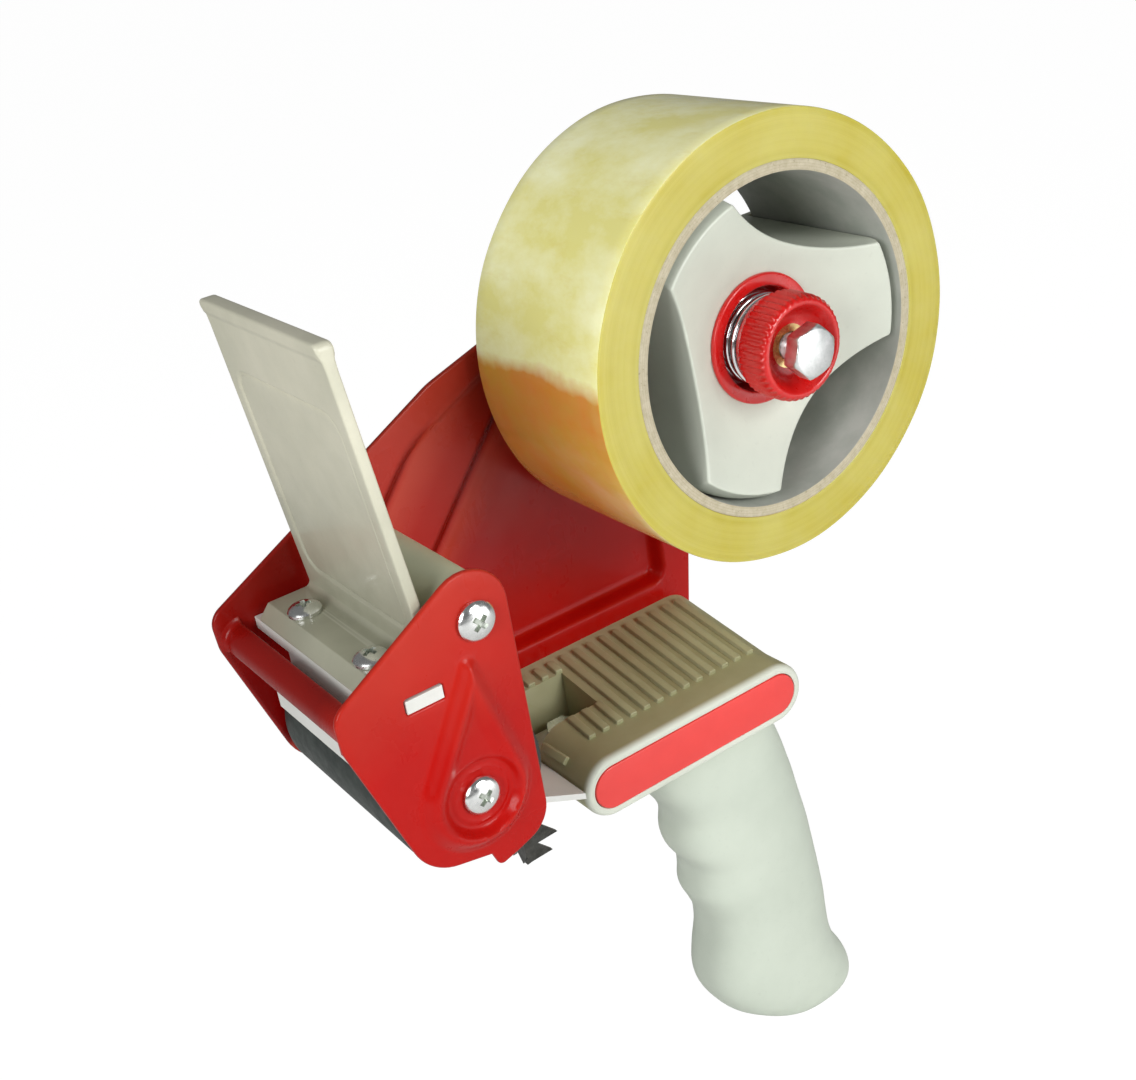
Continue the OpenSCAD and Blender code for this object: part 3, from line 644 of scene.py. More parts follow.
def cardboard(name):
    """Wound kraft board with fibres and a ply line on its cut end."""
    n = Nodes(name)
    radius, x, y, z = polar(n)
    color = n.mix(n.ramp(n.noise(2.2, 6, 0.7), 0.35, 0.65), (0.42, 0.37, 0.25), (0.54, 0.49, 0.36))
    ply = n.ramp(n.math("ABSOLUTE", n.math("SUBTRACT", n.math("FRACT", n.math("DIVIDE", radius, 0.62)), 0.5)),
                 0.38, 0.5, 0, 0.5)
    color = n.mix(ply, color, (0.28, 0.23, 0.14))
    color = n.mix(n.ramp(n.noise(0.5, 2, 0.5, (1, 6, 1)), 0.66, 0.74, 0, 0.6), color, (0.20, 0.16, 0.10))
    n.set("Base Color", color)
    n.set("Roughness", 0.85)
    n.set("Normal", n.bump(n.noise(0.35, 4, 0.6, (1, 4, 1)), 0.6, 0.06))
    return n.material


def core_lining(name):
    """Pale grey paper that lines the inside of the core."""
    n = Nodes(name)
    n.set("Base Color", n.mix(n.ramp(n.noise(9, 5), 0.35, 0.65), (0.36, 0.38, 0.34), (0.46, 0.47, 0.43)))
    n.set("Roughness", 0.7)
    n.set("Normal", n.bump(n.noise(0.5, 4, 0.6, (1, 3, 1)), 0.5, 0.03))
    return n.material


def floor_paper(name):
    """White paper, lit from below as on a light table, so that it stays white to the camera."""
    n = Nodes(name)
    n.set("Base Color", n.mix(n.ramp(n.noise(180, 3), 0.3, 0.7), (0.86, 0.86, 0.85), (0.90, 0.90, 0.89)))
    n.set("Roughness", 0.75)
    n.set("Normal", n.bump(n.noise(2, 3), 0.2, 0.02))
    glow = n.new("ShaderNodeEmission", Color=(1.0, 1.0, 1.0), Strength=1.1)
    seen = n.new("ShaderNodeLightPath").outputs["Is Camera Ray"]
    both = n.new("ShaderNodeMixShader", Fac=n.math("MULTIPLY", seen, 0.88))
    n.tree.links.new(n.shader.outputs[0], both.inputs[1])
    n.tree.links.new(glow.outputs[0], both.inputs[2])
    n.tree.links.new(both.outputs[0], n.tree.nodes["Material Output"].inputs["Surface"])
    return n.material


PAINT = red_paint("red_powder_coat")
WIPER = wiper_plastic("wiper_grey")
ROLLER = plastic("roller_grey", (0.62, 0.65, 0.47), (0.54, 0.57, 0.41), 0.40)
BLOCK = two_tone_block("block_grey")
GRIP = plastic("grip_grey", (0.60, 0.66, 0.565), (0.54, 0.60, 0.51), 0.45, patch=30)
HUB = plastic("hub_grey", (0.60, 0.635, 0.545), (0.54, 0.57, 0.49), 0.40, patch=26)
COAT = plastic("guide_grey", (0.70, 0.71, 0.66), (0.62, 0.63, 0.58), 0.38, coat=0.2)
INSET = glossy_red("inset_red", (0.80, 0.045, 0.038), (0.74, 0.037, 0.032), 0.34)
KNOB = glossy_red("knob_red", (0.62, 0.005, 0.004), (0.50, 0.003, 0.002), 0.26)
ZINC = metal("zinc_plate", (0.88, 0.89, 0.88), (0.70, 0.72, 0.71), 0.20)
BOLT = metal("bolt_zinc", (0.90, 0.91, 0.91), (0.62, 0.65, 0.64), 0.36, (1, 1, 1), 0.8, 0.02)
RECESS = metal("recess_shade", (0.66, 0.70, 0.64), (0.46, 0.50, 0.44), 0.42)
STEEL = metal("turned_steel", (0.74, 0.74, 0.74), (0.60, 0.60, 0.60), 0.25, (1, 0.2, 1))
CHROME = metal("spring_chrome", (0.90, 0.90, 0.92), (0.80, 0.80, 0.83), 0.10)
BLADE = metal("blade_steel", (0.10, 0.10, 0.092), (0.045, 0.045, 0.04), 0.32)
BRASS = metal("turned_brass", (0.80, 0.62, 0.30), (0.66, 0.50, 0.22), 0.25)
RUBBER = black_rubber("black_rubber")
TUBE = plastic("tube_grey", (0.20, 0.20, 0.20), (0.15, 0.15, 0.15), 0.5)
PLUG = plastic("plug_white", (0.74, 0.74, 0.71), (0.66, 0.66, 0.63), 0.45)
FIBRE = plastic("pressed_fibre", (0.17, 0.13, 0.09), (0.10, 0.08, 0.055), 0.8, 0.5, 0.08)
TAPE_SIDE = tape_side("tape_film")
TAPE_FACE = tape_face("tape_edges")
BOARD = cardboard("core_board")
LINING = core_lining("core_lining")
FLOOR = floor_paper("floor_paper")


# ---------------------------------------------------------------- driving sizes, from the frame

plate_low, plate_high = box_mm("main_frame")
SHEET = 1.5                                     # thickness of the pressed sheet
EAR_OUT = plate_low.y                           # outer face of the ear plate
EAR_IN = EAR_OUT + SHEET                        # inner face of the ear plate
guide_low, guide_high = box_mm("guide_roller")
front_low, front_high = box_mm("roller_sleeve")
GUIDE_AXIS = ((guide_low.x + guide_high.x) / 2, (guide_low.z + guide_high.z) / 2)
FRONT_AXIS = ((front_low.x + front_high.x) / 2, (front_low.z + front_high.z) / 2)
GUIDE_R = (guide_high.x - guide_low.x) / 2
FRONT_R = (front_high.x - front_low.x) / 2
tape_low, tape_high = box_mm("tape_roll")
core_low, core_high = box_mm("tape_core")
wiper_low, wiper_high = box_mm("wiper")
block_low, block_high = box_mm("handle_block")
inset_low, inset_high = box_mm("handle_inset")
grip_low, grip_high = box_mm("handle_grip")
knob_low, knob_high = box_mm("knob")
cup_low, cup_high = box_mm("brake_cup")
spring_low, spring_high = box_mm("tension_spring")
bolt_low, bolt_high = box_mm("hub_bolt")


# ---------------------------------------------------------------- pressed frame

def stripe(u, v):
    """Distance across the slanting steps of the side plate."""
    slant = math.radians(50)
    return u * math.sin(slant) - v * math.cos(slant)


def box_distance(u, v, low, high, r):
    """Signed distance to a rounded rectangle, negative inside."""
    cu, cv = (low[0] + high[0]) / 2, (low[1] + high[1]) / 2
    hu, hv = (high[0] - low[0]) / 2 - r, (high[1] - low[1]) / 2 - r
    du, dv = np.abs(u - cu) - hu, np.abs(v - cv) - hv
    return np.hypot(np.maximum(du, 0), np.maximum(dv, 0)) + np.minimum(np.maximum(du, dv), 0) - r


def side_press(u, v):
    """How far the side plate is pressed away from the roll."""
    across = stripe(u, v)
    top = (v + 3.5) - 0.50 * (u + 62)
    margin = smooth_step((-top * 0.9 - 4.0) / 4.0)
    step = 2.2 * smooth_step((across + 46.6) / 3.2) + 2.4 * smooth_step((across + 26.6) / 3.4)
    roll_in = 0.5 * smooth_step((across + 22.0) / 4.0) - 0.9 * smooth_step((across + 16.0) / 12.0)
    frame_edge = box_distance(u, v, (-140, -77.6), (-3.0, 60), 4.5)
    hub = np.hypot(u, v)
    front = smooth_step((u + 110) / 5.0)
    seat = smooth_step((np.hypot(u - FRONT_AXIS[0], v - FRONT_AXIS[1]) - 6.0) / 4.0)
    flat = front * seat * smooth_step((hub - 17) / 5)
    return (step + roll_in) * smooth_step((0.4 - frame_edge) / 2.8) * margin * flat


TEAR_APEX, TEAR_CENTRE = (-96.9, -36.6), (-100.6, -65.6)


def teardrop(u, v):
    """Signed distance to the drop-shaped raised field of the ear."""
    ax, az = TEAR_APEX
    cx, cz = TEAR_CENTRE
    h = math.hypot(ax - cx, az - cz)
    ux, uz = (ax - cx) / h, (az - cz) / h
    along = (u - cx) * ux + (v - cz) * uz
    side = np.abs((u - cx) * uz - (v - cz) * ux)
    r1, r2 = 12.6, 1.2
    b = (r1 - r2) / h
    a = math.sqrt(1 - b * b)
    k = -b * side + a * along
    body = side * a + along * b - r1
    return np.where(k < 0, np.hypot(side, along) - r1, np.where(k > a * h, np.hypot(side, along - h) - r2, body))


def ear_press(x, v):
    """How far the ear stands out: a drop-shaped ridge with a dished field round the front roller's screw."""
    drop = teardrop(x, v)
    ridge = 2.4 * smooth_step((1.6 - drop) / 4.0) - 1.4 * smooth_step((-drop - 2.2) / 3.6)
    ridge *= smooth_step((-85.6 - x) / 2.4)
    r = np.hypot(x - FRONT_AXIS[0], v - FRONT_AXIS[1])
    dish = 1.0 - smooth_step((r - 7.4) / 2.2)
    return ridge * (1 - dish) + 0.3 * smooth_step((6.9 - r) / 0.5) * smooth_step((r - 5.8) / 0.5)


def slope_of(press, points):
    """Where a pressed shape is steep enough to need fine points."""
    u, v = points[:, 0], points[:, 1]
    step = 0.5
    slope = np.abs(press(u + step, v) - press(u - step, v)) + np.abs(press(u, v + step) - press(u, v - step))
    return slope > 0.01


def plate_holes():
    holes = [circle(axis, 2.2, 24) for axis in (GUIDE_AXIS, FRONT_AXIS)]
    return holes + [box_outline(-112.0, -40.9, -103.0, -37.3, 0.7)]


def main_frame():
    """Two pressed plates and the rolled strip that joins them at the front."""
    side = [(-127.29, -34.3, 5), (-62.5, -0.2, 20), (19.5, 26.1, 19), (1.5, -103.5, 7), (-63, -103.5, 10),
            (-80, -83, 8), (-114.9, -80.5, 13), (-126.9, -42.5, 8)]
    ear = [(-127.29, -34.3, 5), (-84.8, -9.1, 9.3), (-84.6, -81.8, 8), (-93.6, -84.9, 0.6), (-98.6, -86.3, 1.5),
           (-100, -82.3, 0.6), (-114.9, -79.2, 12), (-126.9, -42.5, 8)]
    holes = plate_holes() + [circle((0, 0), 3.4, 32)] + [circle((x, -96.2), 2.2, 24) for x in (-38, -12)]
    plate = slab(rounded(side, 10), SHEET, 0.55,
                 lambda u, v, w: (u, w + float(side_press(u, v)), v), holes, 0.6,
                 lambda points: slope_of(side_press, points))
    make("side_plate", plate, "frame", PAINT, ["main_frame"], 50, tidy=False)
    plate = slab(rounded(ear, 10), SHEET, 0.55,
                 lambda u, v, w: (u, EAR_IN - w - float(ear_press(u, v)), v), plate_holes(), 0.6,
                 lambda points: slope_of(ear_press, points))
    make("ear_plate", plate, "frame", PAINT, (), 50, tidy=False)
    make("cross_strip", strip_shell(), "frame", PAINT, (), 50)


def strip_shell():
    """Strip rolled over a large radius, flared into both plates with a fillet."""
    centre, nose, bottom, flare = (-120.8, -42.0), 4.5, -43.2, 1.5
    gaps = (0.0, 0.2, 0.5, 0.8, 1.2, 1.5)
    stations = [(EAR_IN - 0.4, 0.0)] + [(EAR_IN + g, g) for g in gaps] + [(EAR_IN / 2, flare)]
    stations += [(-g, g) for g in reversed(gaps)] + [(0.4, 0.0)]
    loops = []
    for y, gap in stations:
        out = flare - math.sqrt(flare ** 2 - (flare - gap) ** 2)
        r_out, r_in = nose + out, nose - SHEET
        section = [(centre[0] - r_out + 0.15, bottom), (centre[0] - r_out, bottom + 0.25)]
        section += [(centre[0] + r_out * math.cos(a), centre[1] + r_out * math.sin(a))
                    for a in np.linspace(math.pi, math.pi / 2, 17)[:-1]]
        section += [(centre[0] - 0.2, centre[1] + r_out), (centre[0], centre[1] + r_out - 0.2),
                    (centre[0], centre[1] + r_in + 0.2), (centre[0] - 0.2, centre[1] + r_in)]
        section += [(centre[0] + r_in * math.cos(a), centre[1] + r_in * math.sin(a))
                    for a in np.linspace(math.pi / 2, math.pi, 13)[1:]]
        section += [(centre[0] - r_in, bottom + 0.2), (centre[0] - r_in - 0.15, bottom)]
        loops.append([(u, y, v) for u, v in section])
    shell = Shell()
    ids = shell.skin(loops)
    shell.faces += [tuple(ids[0]), tuple(reversed(ids[-1]))]
    return shell


# ---------------------------------------------------------------- wiper

def wiper():
    foot_top, foot_bottom, root_x = -34.0, wiper_low.z, wiper_high.x
    lean = math.tan(math.radians(6.3))
    thick = 2.5
    width = wiper_high.y - wiper_low.y
    top = wiper_high.z - 1.3
    height = top - foot_bottom
    panel = ((4, 10), (width - 4, height - 15.5), 5)

    def press(u, v):
        border = box_distance(u, v, *panel)
        return 0.3 * smooth_step((0.3 - border) / 0.6) + 0.35 * smooth_step(1 - np.abs(border) / 0.55)

    def place(u, v, w):
        bead = 1 + 0.5 * float(smooth_step((v - height + 4.0) / 1.6))
        middle = thick / 2
        w2 = middle + (w - middle) * bead
        w2 += float(press(u, v)) * (1 - w / thick)
        z = foot_bottom + v
        x = root_x - thick - (z - foot_top) * lean + w2
        return (x, wiper_low.y + u, z)

    outline = rounded([(0, 0, 0.3), (width, 0, 0.3), (width, height, 1.6), (0, height, 1.6)], 8)
    levels = edge_levels(thick, 0.5, 4)

    def dense(points):
        u, v = points[:, 0], points[:, 1]
        d = np.abs(box_distance(u, v, *panel))
        return (d < 1.0) | (v > height - 6)

    blade = slab(densify(counter_clockwise(outline), 2, 5e-5), thick, 0.5, place, (), 0.38, dense, levels)
    front = -117.4
    section = rounded([(root_x - 0.05, foot_bottom, 0.4), (root_x - 0.05, foot_top + 5, 0.4),
                       (root_x - thick + 0.3 - 5 * lean, foot_top + 5, 0.2),
                       (root_x - thick - 0.05, foot_top, 1.4), (front + 2.8, foot_top, 0.5),
                       (front, foot_bottom + 0.6, 0.3), (front, foot_bottom, 0.2)], 5)
    foot = rough_object("wiper_moulding", slab(section, width, 0.4, along_y(wiper_low.y), n=3).add(blade))
    screw_low, screw_high = box_mm("wiper_screws")
    head_r = (screw_high.x - screw_low.x) / 2
    x = (screw_high.x + screw_low.x) / 2
    for y in (screw_low.y + head_r, screw_high.y - head_r):
        seat = lathe([(0.01, 3.0), (head_r + 0.2, 3.0), (head_r + 0.2, 0.0), (0.01, 0.0)], steps=64)
        carve(foot, seat.moved(Matrix.Translation((x, y, foot_top)) @ Matrix.Rotation(math.pi / 2, 4, "X")))
    finish_piece(foot, "frame", WIPER, ["wiper"], 40)


# ---------------------------------------------------------------- screws

def cross_cutter(width, reach, depth):
    """Cross recess for a screw head, narrowing downwards. Its mouth is at height 0."""
    shell = Shell()
    for turn in (0, math.pi / 2):
        c, s = math.cos(turn), math.sin(turn)
        loops = []
        for z, k in ((0.6, 1.0), (0.0, 1.0), (-depth * 0.6, 0.8), (-depth, 0.35)):
            a, b = reach * k, width / 2 * (0.6 + 0.4 * k)
            loops.append([(c * p - s * q, s * p + c * q, z) for p, q in ((-a, -b), (a, -b), (a, b), (-a, b))])
        part = Shell()
        ids = part.skin(loops)
        part.faces += [tuple(reversed(ids[0])), tuple(ids[-1])]
        shell.add(part)
    return shell


def pan_head(r, head_r, head_h, length):
    """Screw along Z with the underside of its head at 0: lathe about Y, turned up."""
    dome = [(head_r * math.sin(a), head_h * (0.28 + 0.72 * math.cos(a))) for a in np.linspace(1.35, 0.0, 12)]
    profile = [(0, -length), (r - 0.4, -length), (r, -length + 0.4), (r, 0), (head_r - 0.15, 0),
               (head_r, 0.15), (head_r, head_h * 0.38)] + dome
    return lathe(profile, steps=48).moved(Matrix.Rotation(math.pi / 2, 4, "X"))


def screws(name, node, places, r, head_r, head_h, length, turn=0.4):
    """places are (point under the head, direction the head faces)."""
    for i, (point, facing) in enumerate(places):
        upright = Matrix.Rotation(turn + 0.9 * i, 4, "Z")
        aim = Vector(facing).to_track_quat("Z", "Y").to_matrix().to_4x4()
        matrix = Matrix.Translation(Vector(point)) @ aim @ upright
        obj = rough_object(f"{name}_{i + 1}", pan_head(r, head_r, head_h, length).moved(matrix))
        cutter = cross_cutter(head_r * 0.27, head_r * 0.46, head_h * 0.50)
        cutter.moved(matrix @ Matrix.Translation((0, 0, head_h)))
        carve(obj, cutter)
        back = matrix.inverted()

        def recess(centre, normal):
            q = back @ Vector(centre)
            reach = math.hypot(q.x, q.y)
            return 1 if reach < head_r * 0.62 and q.z < dome_height(reach, head_r, head_h) - 0.08 and q.z > 0 else 0

        finish_piece(obj, "frame", [ZINC, RECESS], [node] if i == 0 else (), 35, recess)


def dome_height(reach, head_r, head_h):
    return head_h * (0.28 + 0.72 * math.sqrt(max(0.0, 1 - (reach / head_r) ** 2)))


def all_screws():
    out_y = SHEET
    low, high = box_mm("wiper_screws")
    head_r = (high.x - low.x) / 2
    foot_x = (low.x + high.x) / 2
    screws("wiper_screw", "wiper_screws",
           [((foot_x, y, -34.0), (0, 0, 1)) for y in (low.y + head_r, high.y - head_r)], 2, head_r, 2.3, 8.6)
    for name, node, axis in (("guide_screw", "guide_screws", GUIDE_AXIS),
                             ("roller_screw", "roller_screws", FRONT_AXIS)):
        screws(name, node,
               [((axis[0], EAR_OUT, axis[1]), (0, -1, 0)), ((axis[0], out_y, axis[1]), (0, 1, 0))],
               2, 4.4, 2.3, 10, 0.75)
    screws("block_screw", "handle_screws",
           [((x, out_y, -96.2), (0, 1, 0)) for x in (-38, -12)], 2, 4.2, 2.3, 15)


# ---------------------------------------------------------------- rollers

def rollers():
    y0, y1 = guide_low.y, guide_high.y
    bore = 3.06
    profile = rounded([(bore, y0, 0.3), (GUIDE_R, y0, 1.0), (GUIDE_R, y1, 1.0), (bore, y1, 0.3)], 4)
    make("guide_tube", lathe(profile, GUIDE_AXIS, 96), "guide_roller", ROLLER,
         ["guide_roller"])
    y0, y1 = front_low.y, front_high.y
    inner = FRONT_R - 3.0
    profile = rounded([(inner, y0, 0.3), (FRONT_R, y0, 1.3), (FRONT_R, y1, 1.3), (inner, y1, 0.3)], 5)
    make("rubber_sleeve", lathe(profile, FRONT_AXIS, 128), "front_roller", RUBBER,
         ["roller_sleeve"])


# ---------------------------------------------------------------- handle

BRACKET_BOLT = (-52.5, -16.0)


RISE, RISE_START = 5.3, -33.2                   # the ribbed top climbs towards the side plate


def raised(x, y, z, middle):
    """Lifts the upper half of the block where its top climbs."""
    if y <= RISE_START or z <= middle:
        return (x, y, z)
    return (x, y, z + RISE * (y - RISE_START) / -RISE_START)


def handle_block():
    r = 8.15
    z = block_low.z + r
    x0, x1 = block_low.x + r, block_high.x - r
    near = block_low.y
    mouth = (inset_high.z - inset_low.z) / 2 + 0.06
    depth = 2.4
    rim = r - mouth
    path = [(0, 0.0), (0, -8), (0, -16), (0, -24), (0, RISE_START + 2.5), (0, RISE_START), (0, near + 1.6)]
    path += [(1.1 * (1 - math.cos(a)), near + 1.6 - 1.6 * math.sin(a)) for a in np.linspace(0.25, math.pi / 2, 6)]
    path += [(rim - 0.4, near), (rim - 0.1, near + 0.12), (rim, near + 0.4), (rim, near + depth)]
    shell = Shell()
    loops = [[raised(u, y, v, z) for u, v in stadium(x0, x1, z, r - inset, 25)] for inset, y in path]
    ids = shell.skin(loops)
    shell.faces += [tuple(ids[0]), tuple(reversed(ids[-1]))]
    obj = rough_object("block_moulding", shell)
    pocket = slab([(-70, -98.5), (-45.5, -98.5), (-45.5, -76), (-70, -76)], 15.3, 0.3, along_y(-23.3))
    carve(obj, pocket)
    bolt_x, bolt_y = BRACKET_BOLT
    hole = lathe([(0.01, -12), (2.7, -12), (2.7, 12), (0.01, 12)], steps=48)
    carve(obj, hole.moved(Matrix.Translation((bolt_x, bolt_y, -98)) @ Matrix.Rotation(math.pi / 2, 4, "X")))
    recess = lathe([(0.01, -12), (5.0, -12), (5.0, 0), (0.01, 0)], steps=6)
    carve(obj, recess.moved(Matrix.Translation((bolt_x, bolt_y, -100.2)) @ Matrix.Rotation(math.pi / 2, 4, "X")))
    rib_z = z + r
    near_end, far_end, width, height = -33.2, -3.0, 2.5, 1.1
    pitch = 4.27
    count = 13
    ribs = Shell()
    for i in range(count + 1):
        middle = -54.6 + i * pitch if i < count else x0
        section = rounded([(-width / 2, -1.2, 0), (width / 2, -1.2, 0), (width / 2 - 0.25, height, 0.35),
                           (-width / 2 + 0.25, height, 0.35)], 4)
        runs = [(near_end, far_end)]
        if i == count:
            runs = [(near_end, -24.2)]
        elif middle < -45.5 + width / 2:
            runs = [(near_end, -23.8), (-7.5, far_end)]
        for start, end in runs:
            rib = slab(section, end - start, 0.3, along_y(start), n=3)
            tilt = math.atan(RISE / -RISE_START)
            hinge = Matrix.Translation((0, near_end, 0))
            back = Matrix.Translation((0, -near_end, 0))
            if i == count:
                rib.moved(Matrix.Translation((x0, 0, z)) @ Matrix.Rotation(math.radians(-48), 4, "Y")
                          @ Matrix.Translation((0, 0, r)) @ hinge
                          @ Matrix.Rotation(tilt * math.cos(math.radians(48)), 4, "X") @ back)
            else:
                rib.moved(Matrix.Translation((middle, 0, rib_z)) @ hinge @ Matrix.Rotation(tilt, 4, "X") @ back)
            ribs.add(rib)
    finish_piece(obj, "frame", BLOCK, ["handle_block"], 38)
    make("block_ribs", ribs, "frame", BLOCK, (), 38)
    face = slab(stadium(x0 + 0.1, x1 - 0.1, z, mouth - 0.08), 2.3, 0.35, along_y(inset_low.y + 0.1))
    make("inset_plate", face, "frame", INSET, ["handle_inset"], 38)


GRIP_STATIONS = [  # height, front x, back x, half thickness
    (-104.35, -38.0, 3.6, 13.4), (-112, -37.0, 5.2, 13.4), (-121, -34.0, 8.0, 13.4), (-127, -30.6, 9.4, 13.5),
    (-132, -29.1, 10.6, 13.6), (-138, -30.0, 11.8, 13.7), (-143, -29.0, 12.8, 13.8), (-149, -25.8, 13.9, 13.9),
    (-154, -25.6, 14.6, 14.0), (-159, -26.2, 15.3, 14.1), (-165, -24.0, 16.0, 14.1), (-170, -22.4, 16.5, 14.2),
    (-177, -22.6, 17.2, 14.3), (-184, -24.4, 17.5, 14.5), (-191, -25.4, 18.0, 14.8), (-197, -24.2, 19.4, 15.1),
    (-203, -20.6, 22.4, 15.2), (-208, -15.0, 24.0, 14.8), (-212, -9.4, 23.8, 13.6), (-214.6, -4.5, 21.6, 11.4),
    (-215.49, 0.0, 18.6, 8.8)]


def interpolate(stations, z):
    zs = [s[0] for s in stations]
    i = max(j for j in range(len(zs) - 1) if z <= zs[j] + 1e-9)
    p = [stations[max(0, min(len(stations) - 1, k))] for k in (i - 1, i, i + 1, i + 2)]
    t = (z - p[1][0]) / (p[2][0] - p[1][0])
    out = []
    for c in range(1, 4):
        span = p[2][0] - p[1][0]
        m1 = (p[2][c] - p[0][c]) / (p[2][0] - p[0][0]) * span if p[2][0] != p[0][0] else 0
        m2 = (p[3][c] - p[1][c]) / (p[3][0] - p[1][0]) * span if p[3][0] != p[1][0] else 0
        out.append((2 * t**3 - 3 * t**2 + 1) * p[1][c] + (t**3 - 2 * t**2 + t) * m1
                   + (-2 * t**3 + 3 * t**2) * p[2][c] + (t**3 - t**2) * m2)
    return out


def grip():
    middle_y = (grip_low.y + grip_high.y) / 2
    heights = list(np.linspace(-104.35, -208, 90)) + list(np.linspace(-208.8, -215.49, 14))
    loops = []
    for z in heights:
        front, back, half = interpolate(GRIP_STATIONS, z)
        centre, reach = (front + back) / 2, (back - front) / 2
        loop = []
        for k in range(72):
            a = TAU * k / 72
            c, s = math.cos(a), math.sin(a)
            loop.append((centre + reach * math.copysign(abs(c) ** 0.80, c),
                         middle_y + half * math.copysign(abs(s) ** 0.80, s), z))
        loops.append(loop)
    shell = Shell()
    ids = shell.skin(loops)
    for end in (ids[0], ids[-1]):
        rim = [shell.points[i] for i in end]
        middle = tuple(np.mean(rim, 0))
        inner = shell.loop([tuple(np.array(middle) + 0.5 * (np.array(p) - middle)) for p in rim])
        shell.bridge(end, inner)
        shell.faces.append(tuple(inner))
    make("grip_moulding", shell, "frame", GRIP, ["handle_grip"], 60)


# ---------------------------------------------------------------- hub and brake

ARM_R, ARM_FRONT_R, WAIST, HOLLOW = 37.6, 35.6, 22.0, 57.7
HUB_TURN = math.radians(4.5)                    # how far the arms are turned up at rest
FACE_TIP, FACE_WAIST = -52.7, cup_low.y + 1.25


def hub_outline(r, inset=0.0, corner=1.0):
    """Three arms with hollow curves between them."""
    reach, hollow = WAIST + HOLLOW, HOLLOW + inset
    tip = r - inset
    beta = math.acos((reach**2 + tip**2 - hollow**2) / (2 * reach * tip))
    gamma = math.asin(tip * math.sin(beta) / hollow)
    points = []
    for arm in range(3):
        turn = HUB_TURN + arm * TAU / 3
        half = TAU / 6 - beta
        for i, a in enumerate(np.linspace(-half, half, 15)):
            points.append((tip * math.cos(turn + a), tip * math.sin(turn + a),
                           corner if i in (0, 14) else 0))
        middle = turn + TAU / 6
        for g in np.linspace(gamma, -gamma, 25)[1:-1]:
            away = reach - hollow * math.cos(g)
            side = -hollow * math.sin(g)
            points.append((away * math.cos(middle) - side * math.sin(middle),
                           away * math.sin(middle) + side * math.cos(middle), 0))
    return rounded(points, 4)


def hub():
    """Front face dished towards the cup, arms tapered at the front, open at the back."""
    slope = (FACE_WAIST - FACE_TIP) / (ARM_FRONT_R - 15.8)
    back = -2.2

    def face_y(u, v):
        r = math.hypot(u, v)
        return FACE_TIP + max(0.0, min(FACE_WAIST - FACE_TIP, (ARM_FRONT_R - r) * slope))

    shell = Shell()
    recess = circle((0, 0), 13.45, 64)
    edge = 0.7
    outer = []
    for a in np.linspace(0, math.pi / 2, 5):
        inset, down = edge * (1 - math.sin(a)), edge * (1 - math.cos(a))
        outer.append([(u, face_y(u, v) + down, v) for u, v in grow(hub_outline(ARM_FRONT_R), -inset)])
    for r, y in ((ARM_FRONT_R + 1.2, FACE_TIP + 2.6), (ARM_R - 0.2, FACE_TIP + 4.6), (ARM_R, FACE_TIP + 6)):
        outer.append([(u, max(y, face_y(u, v) + 1.2), v) for u, v in hub_outline(r)])
    for y in (-40, -30, -20, -10, -4.4):
        outer.append([(u, y, v) for u, v in hub_outline(ARM_R)])
    lip = hub_outline(41.3)
    outer += [[(u, -4.2, v) for u, v in lip], [(u, -2.5, v) for u, v in lip],
              [(u, back, v) for u, v in grow(lip, -0.3)]]
    inner = hub_outline(ARM_R, 2.0)
    outer += [[(u, back, v) for u, v in inner], [(u, -10, v) for u, v in inner], [(u, -41, v) for u, v in inner]]
    shell.skin(outer)
    shell.cap(grow(hub_outline(ARM_FRONT_R), -edge), [recess],
              lambda u, v: (u, face_y(u, v), v), 2.2)
    boss = circle((0, 0), 15.4, 64)
    shell.cap(inner, [boss], lambda u, v: (u, -41, v))
    down = [[(u, FACE_WAIST, v) for u, v in recess], [(u, -38.0, v) for u, v in recess],
            [(u, -38.0, v) for u, v in circle((0, 0), 4.6, 64)], [(u, back, v) for u, v in circle((0, 0), 4.6, 64)],
            [(u, back, v) for u, v in boss], [(u, -41, v) for u, v in boss]]
    shell.skin(down)
    make("hub_moulding", shell, "hub", HUB, ["hub"], 35)


def brake_cup():
    y0, y1, r = cup_low.y, cup_high.y, cup_high.x
    profile = rounded([(4.6, y1, 0.2), (13.3, y1, 0.4), (13.3, y0 + 1.25, 0.1), (r, y0 + 1.25, 0.3), (r, y0, 0.55),
                       (12.2, y0, 0.5), (12.2, y1 - 1.2, 0.5), (4.6, y1 - 1.2, 0.2)], 4)
    make("cup_moulding", lathe(profile, steps=96), "hub", KNOB, ["brake_cup"], 40)


def spring():
    wire, coil_r, turns = 0.75, 10.1, 4
    y0, y1 = spring_low.y + wire, spring_high.y - wire
    path = []
    steps = 40 * turns
    for i in range(steps + 1):
        k = i / steps
        a = TAU * turns * k
        path.append(Vector((coil_r * math.cos(a), y0 + (y1 - y0) * k, coil_r * math.sin(a))))
    shell = sweep(path, wire, 14)
    obj = rough_object("spring_coil", shell)
    obj.data.polygons.foreach_set("use_smooth", [True] * len(obj.data.polygons))
    obj.data.materials.append(CHROME)
    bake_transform(obj)
    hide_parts("tension_spring")


